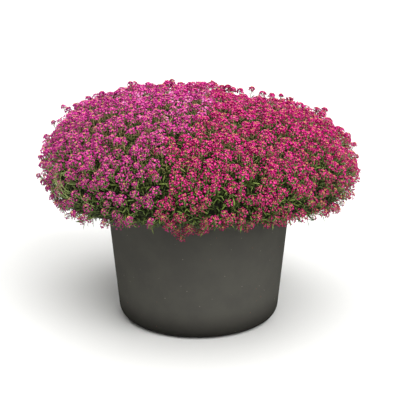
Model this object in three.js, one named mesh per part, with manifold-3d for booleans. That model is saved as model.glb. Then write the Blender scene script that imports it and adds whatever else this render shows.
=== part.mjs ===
// A mound of sweet alyssum growing in a round tapered planter.
//
// Six young plants stand in a ring in the soil and have grown together into one wide, low mound
// that hangs over the planter's rim and hides it. The three on the left flower magenta, the three
// on the right flower deep rose. Each plant is two solids: its green growth, which is a woody
// crown, side shoots, a leafy core and the leaves and shoots that stand out of it, and its
// blossom, which is a net of flower heads that touch their neighbours above the leaves.
//
// Units are millimetres, +Z is up, and the origin is the middle of the planter's flat base.
// Seen from -Y, the magenta plants are on the left.

import * as THREE from "three";
import { mergeVertices } from "three/addons/utils/BufferGeometryUtils.js";
import Module from "manifold-3d";

const wasm = await Module();
wasm.setup();

// Planter
const RIM_RADIUS = 176.5;
const PLANTER_HEIGHT = 235;
const FOOT_RADIUS = 157; // where the straight side begins, above the rounded bottom edge
const EDGE_RADIUS = 30; // the rounded bottom edge
const EDGE_STEPS = 4;
const INNER_EDGE_STEPS = 2;
const WALL = 5;
const FLOOR = 6;
const LIP_RADIUS = 2.5;
const PLANTER_SIDES = 48;
const DRAIN_HOLES = 5;
const DRAIN_RADIUS = 7;
const DRAIN_RING = 80;

// Soil
const SOIL_TOP = 214;
const SOIL_DOME = 3; // how much higher the soil is in the middle
const SOIL_SIDES = 24;
const SOIL_EDGE_STEPS = 2;
const SOIL_CLEARANCE = 1; // the soil has fewer sides than the planter, so it keeps a little away
const CLEARANCE = 0.4; // between other pieces that touch
const HOLE_DEPTH = 34;

// Mound: the leafy core's outline, which the blossom stands about 20 mm proud of
const WAIST_RADIUS = 281;
const WAIST_HEIGHT = 286;
const DOME_RISE = 135;
const HEM_RADIUS = 220;
const HEM_HEIGHT = 239;
const SKIRT_RADIUS = 186; // the skirt's inner side, which passes outside the rim
const UNDERSIDE = 244;
const SQUARENESS = 2.5; // 2 is an ellipse, and more is fuller in the shoulder
const LEAN = 24; // the top leans this far to the left
const CORE_SIDES = 40;
const DOME_RINGS = 6;
const SKIRT_RINGS = 2;
const TUFT_DEPTH = 9; // how far the hollows between the leafy core's tufts go in

// Plants
const PLANTS = 6;
const CROWN_RING = 92;
const CROWN_RADIUS = 6;
const CROWN_SHOOTS = 4;
const CROWN_SPREAD = 36;
const SEAM_X = -8; // the magenta plants meet the rose ones left of the middle
const SEAM_GAP = 0.5;

// Flower heads, nearly twice life size so that a few hundred cover the mound
const HEADS = 300;
const HEADS_TO = 0.9; // the share of the skin that they cover, down to the hem's turn
const HEAD_RADIUS = 21; // the most, where the neighbours leave it this much room
const HEAD_GAP = 0.9; // between neighbouring heads, except where they are joined
const HEAD_LOBES = 6;
const NOTCH = 0.8; // how deep the gaps between florets cut in, as a share of the radius
const HEAD_CROWN = 7;
const HEAD_DROOP = 3;
const HEAD_STALK = 11;
const HEAD_LIFT = 0.8; // between a head's foot and the leafy core
const HEAD_VARIATION = 4; // how much taller some heads stand than others
const JOINT_WIDTH = 5; // where the florets of two neighbouring heads have grown into each other
const JOINT_THICKNESS = 2.4;
const JOINT_BULGE = 0.3; // how far a joint rises over a bend in the mound
const SMALLER_FROM = 0.6; // beyond this share of the skin the heads get smaller, with more leaves
const SMALLEST = 0.82;

// Leaves and leafy shoots
const LEAF_LENGTH = 34;
const LEAF_WIDTH = 5.4;
const LEAF_THICKNESS = 1.5;
const LEAF_ARCH = 0.08;
const LEAF_WIDEST = 0.45; // where along its length a leaf is widest
const LEAF_SUNK = 5;
const LEAF_GAP = 0.8; // the least distance from a leaf to the next piece
const LEAF_TRIES = 6;
const DOME_LEAF_PLACES = 185;
const HEM_LEAF_PLACES = 90;
const HEM_FROM = 0.72;
const SHOOTS = 12;
const SHOOT_LENGTH = 40;
const SHOOT_RADIUS = 1.7;
const SHOOT_SIDES = 4;
const SHOOT_LEAVES = 3;
const TRAILING_AZIMUTHS = [-1.86, -1.74, -1.63]; // the spray that hangs over the front
const TRAILING_LENGTH = 26;

const GOLDEN_ANGLE = Math.PI * (3 - Math.sqrt(5));
const TAU = Math.PI * 2;

// Seeded random numbers from 0 to 1
function randomFrom(seed) {
  let state = seed;
  return () => {
    state = (state + 0x6d2b79f5) | 0;
    let t = Math.imul(state ^ (state >>> 15), 1 | state);
    t = (t + Math.imul(t ^ (t >>> 7), 61 | t)) ^ t;
    return ((t ^ (t >>> 14)) >>> 0) / 4294967296;
  };
}

// From a geometry to a solid that can be joined and cut, and back
function solidOf(geometry) {
  const bare = geometry.clone();
  bare.deleteAttribute("normal");
  bare.deleteAttribute("uv");
  const merged = mergeVertices(bare, 1e-4);
  return new wasm.Manifold(
    new wasm.Mesh({
      numProp: 3,
      vertProperties: merged.attributes.position.array,
      triVerts: new Uint32Array(merged.index.array),
    }),
  );
}

function geometryOf(solid) {
  const mesh = solid.getMesh();
  const geometry = new THREE.BufferGeometry();
  geometry.setAttribute("position", new THREE.BufferAttribute(mesh.vertProperties, 3));
  geometry.setIndex(new THREE.BufferAttribute(mesh.triVerts, 1));
  const flat = geometry.toNonIndexed();
  flat.computeVertexNormals();
  return flat;
}

function joined(solids) {
  return wasm.Manifold.union(solids);
}

// A geometry from a list of points and a list of triangles that face outwards
function facets(points, triangles) {
  const geometry = new THREE.BufferGeometry();
  geometry.setAttribute("position", new THREE.Float32BufferAttribute(points.flat(), 3));
  geometry.setIndex(triangles.flat());
  return geometry;
}

// A profile of [radius, height] points turned about the Z axis
function turned(profile, sides) {
  const points = profile.map(([radius, height]) => new THREE.Vector2(radius, height));
  return new THREE.LatheGeometry(points, sides).rotateX(Math.PI / 2);
}

function arc(centreRadius, centreHeight, radius, from, to, steps) {
  return Array.from({ length: steps + 1 }, (_, i) => {
    const angle = from + ((to - from) * i) / steps;
    return [centreRadius + radius * Math.cos(angle), centreHeight + radius * Math.sin(angle)];
  });
}

// A plain tapered stem from one point to another, with few sides
function stem(from, to, startRadius, endRadius, sides) {
  const along = to.clone().sub(from);
  const geometry = new THREE.CylinderGeometry(endRadius, startRadius, along.length(), sides);
  geometry.translate(0, along.length() / 2, 0);
  const turn = new THREE.Quaternion().setFromUnitVectors(new THREE.Vector3(0, 1, 0), along.normalize());
  geometry.applyQuaternion(turn);
  geometry.translate(from.x, from.y, from.z);
  return solidOf(geometry);
}

// A frame at a point: its Z axis along one direction, and its X axis as near another as it can be
function frameAt(point, zAxis, towards) {
  const z = zAxis.clone().normalize();
  const x = towards.clone().addScaledVector(z, -towards.dot(z)).normalize();
  const y = z.clone().cross(x);
  return new THREE.Matrix4().makeBasis(x, y, z).setPosition(point);
}

// A direction leaned away from another by an angle, towards a given side
function leaned(direction, side, angle) {
  const across = side.clone().addScaledVector(direction, -side.dot(direction)).normalize();
  return direction.clone().multiplyScalar(Math.cos(angle)).addScaledVector(across, Math.sin(angle));
}

function anyDirection(random) {
  return new THREE.Vector3(random() - 0.5, random() - 0.5, random() - 0.5).normalize();
}

// Planter: one moulded shell with a rounded bottom edge, a rounded lip and drain holes
const wallSlope = (RIM_RADIUS - FOOT_RADIUS) / (PLANTER_HEIGHT - EDGE_RADIUS);

function planterSolid() {
  const lip = PLANTER_HEIGHT - LIP_RADIUS;
  const edge = (radius, from, to, steps) => (
    arc(FOOT_RADIUS - EDGE_RADIUS, EDGE_RADIUS, radius, from, to, steps)
  );
  const innerEdge = edge(EDGE_RADIUS - WALL, 0, -Math.PI / 2, INNER_EDGE_STEPS);
  const profile = [
    [0, 0],
    ...edge(EDGE_RADIUS, -Math.PI / 2, 0, EDGE_STEPS),
    ...arc(RIM_RADIUS - LIP_RADIUS, lip, LIP_RADIUS, 0, Math.PI, 2),
    ...innerEdge.map(([radius, height]) => [radius, Math.max(height, FLOOR)]),
    [0, FLOOR],
  ];
  const drains = Array.from({ length: DRAIN_HOLES }, (_, i) => {
    const angle = (TAU * i) / DRAIN_HOLES;
    const place = new THREE.Vector3(DRAIN_RING * Math.cos(angle), DRAIN_RING * Math.sin(angle), -FLOOR);
    return stem(place, place.clone().setZ(2 * FLOOR), DRAIN_RADIUS, DRAIN_RADIUS, 8);
  });
  return solidOf(turned(profile, PLANTER_SIDES)).subtract(joined(drains));
}

// Plants stand at the middle of six equal sectors, the first one on +X
const sectorAngle = TAU / PLANTS;
const crownPlaces = Array.from({ length: PLANTS }, (_, i) => {
  const angle = i * sectorAngle;
  return new THREE.Vector3(CROWN_RING * Math.cos(angle), CROWN_RING * Math.sin(angle), 0);
});

function upright(place, from, to, radius) {
  return stem(place.clone().setZ(from), place.clone().setZ(to), radius, radius, 8);
}

// Soil: it fills the planter to just below the rim and has a plain hole for each crown
function soilSolid() {
  const bottom = FLOOR + SOIL_CLEARANCE;
  const edge = arc(
    FOOT_RADIUS - EDGE_RADIUS,
    EDGE_RADIUS,
    EDGE_RADIUS - WALL - SOIL_CLEARANCE,
    -Math.PI / 2,
    0,
    SOIL_EDGE_STEPS,
  );
  const topRadius = FOOT_RADIUS - WALL + wallSlope * (SOIL_TOP - EDGE_RADIUS) - SOIL_CLEARANCE;
  const profile = [
    [0, bottom],
    ...edge.map(([radius, height]) => [radius, Math.max(height, bottom)]),
    [topRadius, SOIL_TOP],
    [0, SOIL_TOP + SOIL_DOME],
  ];
  const holes = crownPlaces.map((place) => (
    upright(place, SOIL_TOP - HOLE_DEPTH, SOIL_TOP + HOLE_DEPTH, CROWN_RADIUS + CLEARANCE)
  ));
  return solidOf(turned(profile, SOIL_SIDES)).subtract(joined(holes));
}

// Mound: a point of a round outline is swollen and leaned into the plants' uneven shape
function onMound(radius, height, azimuth) {
  const rise = Math.max(0, (height - WAIST_HEIGHT) / DOME_RISE);
  const swell = 1 + 0.014 * Math.sin(3 * azimuth + 0.9) + 0.01 * Math.sin(5 * azimuth + 2.2);
  return new THREE.Vector3(
    radius * swell * Math.cos(azimuth) - LEAN * rise ** 1.5,
    radius * swell * Math.sin(azimuth),
    height,
  );
}

// The outline from the top, over the shoulder and the waist, down to the hem
function outline(domeSteps, skirtSteps) {
  const power = 2 / SQUARENESS;
  const dome = Array.from({ length: domeSteps }, (_, i) => {
    const angle = (Math.PI / 2) * (1 - i / domeSteps);
    const radius = i === 0 ? 0 : WAIST_RADIUS * Math.cos(angle) ** power;
    return [radius, WAIST_HEIGHT + DOME_RISE * Math.sin(angle) ** power];
  });
  const skirt = Array.from({ length: skirtSteps + 1 }, (_, i) => {
    const angle = (Math.PI / 2) * (i / skirtSteps);
    const outward = i === skirtSteps ? 0 : Math.cos(angle) ** power;
    return [
      HEM_RADIUS + (WAIST_RADIUS - HEM_RADIUS) * outward,
      WAIST_HEIGHT - (WAIST_HEIGHT - HEM_HEIGHT) * Math.sin(angle) ** power,
    ];
  });
  return [...dome, ...skirt];
}

// The leafy core: every second point of its skin lies deeper, which leaves tufts in between
function coreSolid() {
  const skin = outline(DOME_RINGS, SKIRT_RINGS);
  const inner = [[SKIRT_RADIUS, HEM_HEIGHT + 3], [SKIRT_RADIUS, UNDERSIDE], [0, UNDERSIDE]];
  const core = turned([...skin, ...inner].reverse(), CORE_SIDES);
  const places = core.attributes.position;
  const rows = skin.length + inner.length;
  for (let i = 0; i < places.count; i++) {
    const row = rows - 1 - (i % rows);
    const side = Math.floor(i / rows) % CORE_SIDES;
    const onSkin = row > 0 && row < skin.length - 1;
    const depth = onSkin && (row + side) % 2 ? TUFT_DEPTH / WAIST_RADIUS : 0;
    const [x, y, z] = [places.getX(i), places.getY(i), places.getZ(i)];
    const moved = onMound(Math.hypot(x, y) * (1 - depth), z - depth * (z - UNDERSIDE), Math.atan2(y, x));
    places.setXYZ(i, moved.x, moved.y, moved.z);
  }
  return solidOf(core);
}

// One plant's share of the mound, a hair inside its sector so that neighbours don't meet
function sectorSolid(plant) {
  const middle = plant * sectorAngle;
  const reach = 2 * WAIST_RADIUS;
  const inset = SEAM_GAP / Math.sin(sectorAngle / 2);
  const corner = (angle, distance) => new THREE.Vector2(
    SEAM_X + inset * Math.cos(middle) + distance * Math.cos(angle),
    inset * Math.sin(middle) + distance * Math.sin(angle),
  );
  const plan = new THREE.Shape([
    corner(middle, 0),
    corner(middle - sectorAngle / 2, reach),
    corner(middle, 2 * reach),
    corner(middle + sectorAngle / 2, reach),
  ]);
  return solidOf(new THREE.ExtrudeGeometry(plan, { depth: 3 * PLANTER_HEIGHT, bevelEnabled: false }));
}

// Places spread evenly over the mound's skin by a golden-angle spiral, from the top to the hem
const fineOutline = outline(120, 40);
const skinAreas = [0];
for (let i = 1; i < fineOutline.length; i++) {
  const [[r0, z0], [r1, z1]] = [fineOutline[i - 1], fineOutline[i]];
  skinAreas.push(skinAreas[i - 1] + Math.PI * (r0 + r1) * Math.hypot(r1 - r0, z1 - z0));
}

function placeOnSkin(share, turn) {
  const azimuth = Math.atan2(Math.sin(turn), Math.cos(turn));
  const wanted = share * skinAreas.at(-1);
  let i = 1;
  while (i < skinAreas.length - 1 && skinAreas[i] < wanted) i++;
  const part = (wanted - skinAreas[i - 1]) / (skinAreas[i] - skinAreas[i - 1]);
  const [[r0, z0], [r1, z1]] = [fineOutline[i - 1], fineOutline[i]];
  const slope = new THREE.Vector2(r1 - r0, z1 - z0).normalize();
  return {
    share,
    point: onMound(r0 + (r1 - r0) * part, z0 + (z1 - z0) * part, azimuth),
    normal: new THREE.Vector3(-slope.y * Math.cos(azimuth), -slope.y * Math.sin(azimuth), slope.x),
    around: new THREE.Vector3(-Math.sin(azimuth), Math.cos(azimuth), 0),
  };
}

function spiral(count, upTo, jitter, random) {
  return Array.from({ length: count }, (_, i) => {
    const share = (upTo * (i + 0.5 + jitter * (random() - 0.5))) / count;
    return placeOnSkin(share, i * GOLDEN_ANGLE + (jitter * (random() - 0.5)) / Math.sqrt(i + 1));
  });
}

// The point of the core's own facets under a place, to seat heads and root leaves exactly
const core = coreSolid();
const coreMesh = new THREE.Mesh(geometryOf(core), new THREE.MeshBasicMaterial());
const ray = new THREE.Raycaster();

function seatUnder(place) {
  ray.set(place.point.clone().addScaledVector(place.normal, 30), place.normal.clone().negate());
  const hit = ray.intersectObject(coreMesh)[0];
  return hit ? hit.point : place.point.clone();
}

function plantAt(point) {
  const angle = Math.atan2(point.y, point.x - SEAM_X);
  return (Math.round(angle / sectorAngle) + PLANTS) % PLANTS;
}

// Flower heads: where each one stands, and how wide its neighbours let it grow
function placeHeads() {
  const random = randomFrom(7);
  const heads = spiral(HEADS, HEADS_TO, 0.3, random).map((place) => {
    const lean = new THREE.Vector3(random() - 0.5, random() - 0.5, random() - 0.3).multiplyScalar(0.3);
    const axis = place.normal.clone().add(lean).normalize();
    const foot = seatUnder(place).addScaledVector(place.normal, HEAD_LIFT);
    const stalk = HEAD_STALK + HEAD_VARIATION * random() + place.point.distanceTo(foot);
    return {
      axis,
      stalk,
      share: place.share,
      plant: plantAt(place.point),
      frame: frameAt(foot, axis, place.around),
      middle: foot.clone().addScaledVector(axis, stalk - HEAD_DROOP),
      joints: [],
    };
  });
  for (const head of heads) {
    const distances = heads.map((other) => (other === head ? Infinity : other.middle.distanceTo(head.middle)));
    const low = Math.max(0, (head.share - SMALLER_FROM) / (1 - SMALLER_FROM));
    const room = (Math.min(...distances) - HEAD_GAP) / 2;
    head.radius = Math.min(HEAD_RADIUS, room) * (1 - (1 - SMALLEST) * low);
  }
  return heads;
}

// The shortest set of links that joins all of a plant's heads, as pairs of heads
function shortestLinks(heads) {
  const reached = [heads[0]];
  const waiting = new Set(heads.slice(1));
  const pairs = [];
  while (waiting.size) {
    let best = null;
    for (const from of reached) {
      for (const to of waiting) {
        const distance = from.middle.distanceTo(to.middle);
        if (!best || distance < best.distance) best = { from, to, distance };
      }
    }
    pairs.push([best.from, best.to]);
    reached.push(best.to);
    waiting.delete(best.to);
  }
  return pairs;
}

// Where two heads' florets meet: a small three-cornered section that both heads end in
function joinHeads(from, to, points) {
  const up = from.axis.clone().add(to.axis).normalize();
  const along = to.middle.clone().sub(from.middle);
  const bulge = JOINT_BULGE * along.length() * from.axis.angleTo(to.axis);
  const middle = from.middle.clone().add(to.middle).divideScalar(2).addScaledVector(up, bulge);
  const side = up.clone().cross(along).setLength(JOINT_WIDTH / 2);
  const crest = middle.clone().addScaledVector(up, JOINT_THICKNESS);
  const first = points.length;
  points.push(middle.clone().sub(side), crest, middle.clone().add(side));
  from.joints.push({ middle, corners: [first, first + 1, first + 2] });
  to.joints.push({ middle, corners: [first + 2, first + 1, first] });
}

// The lobes of one head in order round it: one at each joint, and free ones evenly in between
function lobesOf(head, random) {
  const inverse = head.frame.clone().invert();
  const joints = head.joints.map((joint) => {
    const local = joint.middle.clone().applyMatrix4(inverse);
    return { ...joint, angle: Math.atan2(local.y, local.x) };
  });
  joints.sort((a, b) => a.angle - b.angle);
  const lobes = [];
  joints.forEach((joint, i) => {
    const next = i + 1 < joints.length ? joints[i + 1].angle : joints[0].angle + TAU;
    const steps = Math.max(1, Math.round(((next - joint.angle) * HEAD_LOBES) / TAU));
    lobes.push(joint);
    for (let step = 1; step < steps; step++) {
      const angle = joint.angle + ((next - joint.angle) * step) / steps;
      lobes.push({ angle, radius: head.radius * (0.88 + 0.12 * random()) });
    }
  });
  return lobes;
}

// A flower head: lobes of florets round a raised middle, over the cone that their stalks make
function addHead(head, lobes, points, triangles) {
  const place = (radius, angle, height) => {
    const point = new THREE.Vector3(radius * Math.cos(angle), radius * Math.sin(angle), height);
    return points.push(point.applyMatrix4(head.frame)) - 1;
  };
  const top = place(0, 0, head.stalk + HEAD_CROWN);
  const foot = place(0, 0, 0);
  const rims = lobes.map((lobe) => (
    lobe.corners ?? [place(lobe.radius, lobe.angle, head.stalk - HEAD_DROOP)]
  ));
  const notches = lobes.map((lobe, i) => {
    const next = i + 1 < lobes.length ? lobes[i + 1].angle : lobes[0].angle + TAU;
    return place(NOTCH * head.radius, (lobe.angle + next) / 2, head.stalk);
  });
  rims.forEach((rim, i) => {
    const upper = [notches.at(i - 1), ...rim, notches[i]];
    const lower = rim.length === 1 ? upper : [upper[0], rim[0], rim.at(-1), notches[i]];
    for (let n = 1; n < upper.length; n++) triangles.push([top, upper[n - 1], upper[n]]);
    for (let n = 1; n < lower.length; n++) triangles.push([foot, lower[n], lower[n - 1]]);
  });
}

function blossomSolid(heads, random) {
  const points = [];
  const triangles = [];
  for (const [from, to] of shortestLinks(heads)) joinHeads(from, to, points);
  for (const head of heads) addHead(head, lobesOf(head, random), points, triangles);
  return solidOf(facets(points.map((point) => point.toArray()), triangles));
}

// A lance-shaped leaf along +Z, three-sided, with a ridged upper side on +X, grown by some room
function leafGeometry(length, room) {
  const half = LEAF_WIDTH / 2 + room;
  const widest = LEAF_WIDEST * length;
  const points = [
    [0, 0, -3 * room],
    [-room, -half, widest],
    [-room, half, widest],
    [LEAF_THICKNESS + room, 0, widest],
    [-LEAF_ARCH * length - room / 2, 0, length + 3 * room],
  ];
  return facets(points, [[0, 1, 2], [0, 2, 3], [0, 3, 1], [4, 2, 1], [4, 3, 2], [4, 1, 3]]);
}

function leafSolid(root, direction, upperSide, length, room) {
  return solidOf(leafGeometry(length, room).applyMatrix4(frameAt(root, direction, upperSide)));
}

// A leafy shoot: a tapered stem with leaves on alternate sides and one at its tip
function shootSolid(root, direction, upperSide, length, room) {
  const tip = root.clone().addScaledVector(direction, length);
  const parts = [stem(root, tip, SHOOT_RADIUS + room, SHOOT_RADIUS / 2 + room, SHOOT_SIDES)];
  const across = direction.clone().cross(upperSide).normalize();
  for (let i = 0; i < SHOOT_LEAVES; i++) {
    const at = root.clone().lerp(tip, 0.4 + (0.5 * i) / SHOOT_LEAVES);
    const side = across.clone().multiplyScalar(i % 2 ? 1 : -1);
    parts.push(leafSolid(at, leaned(direction, side, 0.9), upperSide, 0.7 * LEAF_LENGTH, room));
  }
  parts.push(leafSolid(root.clone().lerp(tip, 0.93), direction, upperSide, 0.7 * LEAF_LENGTH, room));
  return joined(parts);
}

// Leaves and shoots take only the room that the heads, the planter and each other leave them
function grower(plants, obstacles) {
  const taken = [];
  return (plant, makeSolid) => {
    const test = makeSolid(LEAF_GAP);
    const { min, max } = test.boundingBox();
    const box = new THREE.Box3(new THREE.Vector3(...min), new THREE.Vector3(...max));
    const meets = (other) => other.intersect(test).volume() > 0;
    if (meets(obstacles)) return false;
    if (taken.some((other) => other.box.intersectsBox(box) && meets(other.solid))) return false;
    if (plants.some((other, i) => i !== plant && meets(other.core))) return false;
    taken.push({ solid: test, box });
    plants[plant].parts.push(makeSolid(0));
    return true;
  };
}

function growLeaves(plants, obstacles) {
  const random = randomFrom(23);
  const grow = grower(plants, obstacles);
  const tryLeaf = (place, spreadFrom, spreadTo, pull) => {
    for (let attempt = 0; attempt < LEAF_TRIES; attempt++) {
      const side = anyDirection(random).add(pull);
      const direction = leaned(place.normal, side, spreadFrom + (spreadTo - spreadFrom) * random());
      const root = seatUnder(place).addScaledVector(direction, -LEAF_SUNK);
      const length = LEAF_LENGTH * (0.9 + 0.3 * random());
      if (grow(plantAt(place.point), (room) => leafSolid(root, direction, place.normal, length, room))) return;
    }
  };
  const tryShoot = (share, azimuth, length, lean) => {
    const place = placeOnSkin(share, azimuth);
    const direction = leaned(place.normal, new THREE.Vector3(0, 0, -1), lean);
    const root = seatUnder(place).addScaledVector(direction, -1.5 * LEAF_SUNK);
    grow(plantAt(place.point), (room) => shootSolid(root, direction, place.normal, length, room));
  };
  for (const azimuth of TRAILING_AZIMUTHS) tryShoot(0.97, azimuth, TRAILING_LENGTH, 0.2);
  for (let i = 0; i < SHOOTS; i++) {
    tryShoot(0.8 + 0.15 * random(), (TAU * (i + 0.3 * random())) / SHOOTS, SHOOT_LENGTH, 0.5 * random());
  }
  const down = new THREE.Vector3(0, 0, -0.4);
  for (let i = 0; i < HEM_LEAF_PLACES; i++) {
    const share = HEM_FROM + (1 - HEM_FROM) * ((i + 0.5) / HEM_LEAF_PLACES);
    tryLeaf(placeOnSkin(share, i * GOLDEN_ANGLE), 0.4, 1.1, down);
  }
  for (const place of spiral(DOME_LEAF_PLACES, HEM_FROM, 0.9, random)) {
    tryLeaf(place, 0.1, 0.6, new THREE.Vector3());
  }
}

// A plant's woody crown in its soil hole, with side shoots that fan out into the leafy core
function crownSolids(plant) {
  const place = crownPlaces[plant];
  const crown = upright(place, SOIL_TOP - HOLE_DEPTH + CLEARANCE, UNDERSIDE + 6, CROWN_RADIUS);
  const sideShoots = Array.from({ length: CROWN_SHOOTS }, (_, i) => {
    const angle = plant * sectorAngle + (TAU * (i + 0.5)) / CROWN_SHOOTS;
    const spread = new THREE.Vector3(Math.cos(angle), Math.sin(angle), 0).multiplyScalar(CROWN_SPREAD);
    return stem(place.clone().setZ(SOIL_TOP + 8), place.clone().add(spread).setZ(UNDERSIDE + 8), 3.4, 2.2, 5);
  });
  return [crown, ...sideShoots];
}

const heads = placeHeads();
const lobeRandom = randomFrom(11);
const blossoms = Array.from({ length: PLANTS }, (_, plant) => (
  blossomSolid(heads.filter((head) => head.plant === plant), lobeRandom)
));
const plants = Array.from({ length: PLANTS }, (_, plant) => {
  const share = core.intersect(sectorSolid(plant));
  return { core: share, parts: [share, ...crownSolids(plant)] };
});
const planter = planterSolid();
growLeaves(plants, joined([...blossoms, planter]));

// The object
const group = new THREE.Group();

function addMesh(name, solid, color, roughness) {
  const mesh = new THREE.Mesh(
    geometryOf(solid),
    new THREE.MeshStandardMaterial({ color, roughness, metalness: 0 }),
  );
  mesh.name = name;
  group.add(mesh);
}

addMesh("planter", planter, 0x4a4945, 0.75);
addMesh("soil", soilSolid(), 0x2a1d14, 1);
for (let plant = 0; plant < PLANTS; plant++) {
  const onTheLeft = crownPlaces[plant].x < 0;
  addMesh(`plant_${plant + 1}_growth`, joined(plants[plant].parts), 0x4a5c2a, 0.6);
  addMesh(`plant_${plant + 1}_blossom`, blossoms[plant], onTheLeft ? 0xc23a86 : 0xb52f62, 0.6);
}

export default group;
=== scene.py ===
# %% [markdown]
# # Potted sweet alyssum
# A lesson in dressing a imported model: six bedding plants have grown into one wide mound over a dark
# grey planter, three of them magenta and three deep rose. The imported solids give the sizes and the
# places. This file gives the planter its moulded skin, and replaces the coarse plants by florets,
# buds, stalks and leaves of true size.

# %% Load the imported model
import math

import bpy
import numpy as np
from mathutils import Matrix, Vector


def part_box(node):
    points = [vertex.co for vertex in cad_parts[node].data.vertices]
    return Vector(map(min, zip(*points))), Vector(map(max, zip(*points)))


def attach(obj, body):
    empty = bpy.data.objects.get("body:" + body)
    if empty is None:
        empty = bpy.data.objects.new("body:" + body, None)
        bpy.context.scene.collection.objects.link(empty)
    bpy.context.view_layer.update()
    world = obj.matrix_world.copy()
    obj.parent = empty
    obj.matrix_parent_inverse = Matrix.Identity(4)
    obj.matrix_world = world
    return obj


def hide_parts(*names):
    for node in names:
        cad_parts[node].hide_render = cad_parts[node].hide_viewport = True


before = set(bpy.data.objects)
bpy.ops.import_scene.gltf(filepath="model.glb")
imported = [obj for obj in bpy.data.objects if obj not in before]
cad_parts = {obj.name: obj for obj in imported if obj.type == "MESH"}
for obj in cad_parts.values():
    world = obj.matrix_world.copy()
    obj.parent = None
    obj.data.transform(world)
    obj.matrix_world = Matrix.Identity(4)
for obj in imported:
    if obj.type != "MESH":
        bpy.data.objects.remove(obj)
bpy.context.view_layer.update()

# %% [markdown]
# ## Small helpers
# Everything below is in metres. Operators act on whatever is selected, and loading leaves the packed
# nodes selected, so each new piece starts with a clean selection. Colours are written as the hex
# values that a painter reads off a swatch, and one function turns them into linear light.

# %% Helpers for selection and modifiers
MM = 0.001
TAU = 2 * math.pi
GOLDEN_ANGLE = math.pi * (3 - math.sqrt(5))


def select_only(thing):
    if bpy.context.mode != "OBJECT":
        bpy.ops.object.mode_set(mode="OBJECT")
    bpy.ops.object.select_all(action="DESELECT")
    thing.select_set(True)
    bpy.context.view_layer.objects.active = thing


def add_shape(name, operator, **settings):
    """A new primitive, alone selected, with its name on the object and on its mesh."""
    bpy.ops.object.select_all(action="DESELECT")
    operator(**settings)
    thing = bpy.context.object
    thing.name = name
    thing.data.name = name
    return thing


def apply_place(thing):
    select_only(thing)
    bpy.ops.object.transform_apply(location=True, rotation=True, scale=True)


def add_modifier(thing, kind, **settings):
    select_only(thing)
    modifier = thing.modifiers.new(kind.lower(), kind)
    for key, value in settings.items():
        setattr(modifier, key, value)
    bpy.ops.object.modifier_apply(modifier=modifier.name)


def select_where(thing, kind, wanted):
    """In edit mode, with only those vertices (VERT) or faces (FACE) selected that are wanted."""
    select_only(thing)
    bpy.ops.object.mode_set(mode="EDIT")
    bpy.ops.mesh.select_mode(type=kind)
    bpy.ops.mesh.select_all(action="DESELECT")
    bpy.ops.object.mode_set(mode="OBJECT")
    for element in thing.data.vertices if kind == "VERT" else thing.data.polygons:
        element.select = bool(wanted(element))
    bpy.ops.object.mode_set(mode="EDIT")


def finish_editing():
    bpy.ops.object.mode_set(mode="OBJECT")


# %% Helpers for colours and nodes
def linear(hex_colour):
    """An sRGB hex colour as linear light with full alpha."""
    channels = [int(hex_colour[i:i + 2], 16) / 255 for i in (1, 3, 5)]
    light = [c / 12.92 if c <= 0.04045 else ((c + 0.055) / 1.055) ** 2.4 for c in channels]
    return (*light, 1.0)


def add_node(tree, kind, inputs=None, **settings):
    """A node with its settings, and with values or other nodes' outputs at its inputs."""
    node = tree.nodes.new(kind)
    for key, value in settings.items():
        setattr(node, key, value)
    for key, value in (inputs or {}).items():
        if isinstance(value, bpy.types.NodeSocket):
            tree.links.new(value, node.inputs[key])
        else:
            node.inputs[key].default_value = value
    return node


def blank_material(name):
    """A material without nodes, and its node tree."""
    material = bpy.data.materials.new(name)
    material.use_nodes = True
    material.node_tree.nodes.clear()
    return material, material.node_tree


def finish_surface(tree, inputs):
    """The end of every node tree: one shader with these inputs, over the whole surface."""
    surface = add_node(tree, "ShaderNodeBsdfPrincipled", inputs)
    add_node(tree, "ShaderNodeOutputMaterial", {"Surface": surface.outputs["BSDF"]})


# Where a Mix node that mixes colours has its factor, its two colours and its result
FACTOR, FIRST, SECOND = 0, 6, 7
MIXED = 2


def passing(tree, amount, first, second, span, most=1.0):
    """A colour that passes softly from a first to a second while an amount crosses a span."""
    start, full = span
    limits = {"Value": amount, "From Min": start, "From Max": full, "To Max": most}
    soft = add_node(tree, "ShaderNodeMapRange", limits, interpolation_type="SMOOTHSTEP")
    colours = {FACTOR: soft.outputs["Result"], FIRST: first, SECOND: second}
    return add_node(tree, "ShaderNodeMix", colours, data_type="RGBA").outputs[MIXED]


# %% [markdown]
# ## Camera, light and floor
# The photograph looks a little down on the plant with a long lens. Its light is soft: one source is
# overhead and makes the top of the mound the brightest part, the other stands to the right, which
# is why the planter is darkest on its left. Very wide sun lamps do this, like large softboxes far
# off, and they light the whole floor evenly. A third and weak one, behind, keeps the back from
# turning black in other views. The camera's distance and height come from the planter: its foot
# shows as an ellipse that only one viewing angle gives.

# %% Camera
IMAGE_SIZE = 400
CAMERA_DISTANCE = 2.2
CAMERA_ELEVATION = math.radians(17)
PIXEL_AT_TARGET = 1.93 * MM
AIM_HEIGHT = 0.227
AIM_X = 1.4 * PIXEL_AT_TARGET
SENSOR = 36

camera_data = bpy.data.cameras.new("camera")
camera = bpy.data.objects.new("camera", camera_data)
bpy.context.scene.collection.objects.link(camera)
aim = Vector((AIM_X, 0, AIM_HEIGHT))
back = Vector((0, -math.cos(CAMERA_ELEVATION), math.sin(CAMERA_ELEVATION)))
camera.location = aim + CAMERA_DISTANCE * back
camera.rotation_euler = back.to_track_quat("Z", "Y").to_euler()
camera_data.sensor_width = SENSOR
camera_data.lens = SENSOR * CAMERA_DISTANCE / (IMAGE_SIZE * PIXEL_AT_TARGET)
bpy.context.scene.camera = camera
print("lens", round(camera_data.lens, 1), "mm")

# %% Light and floor
WORLD_STRENGTH = 0.12


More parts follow.
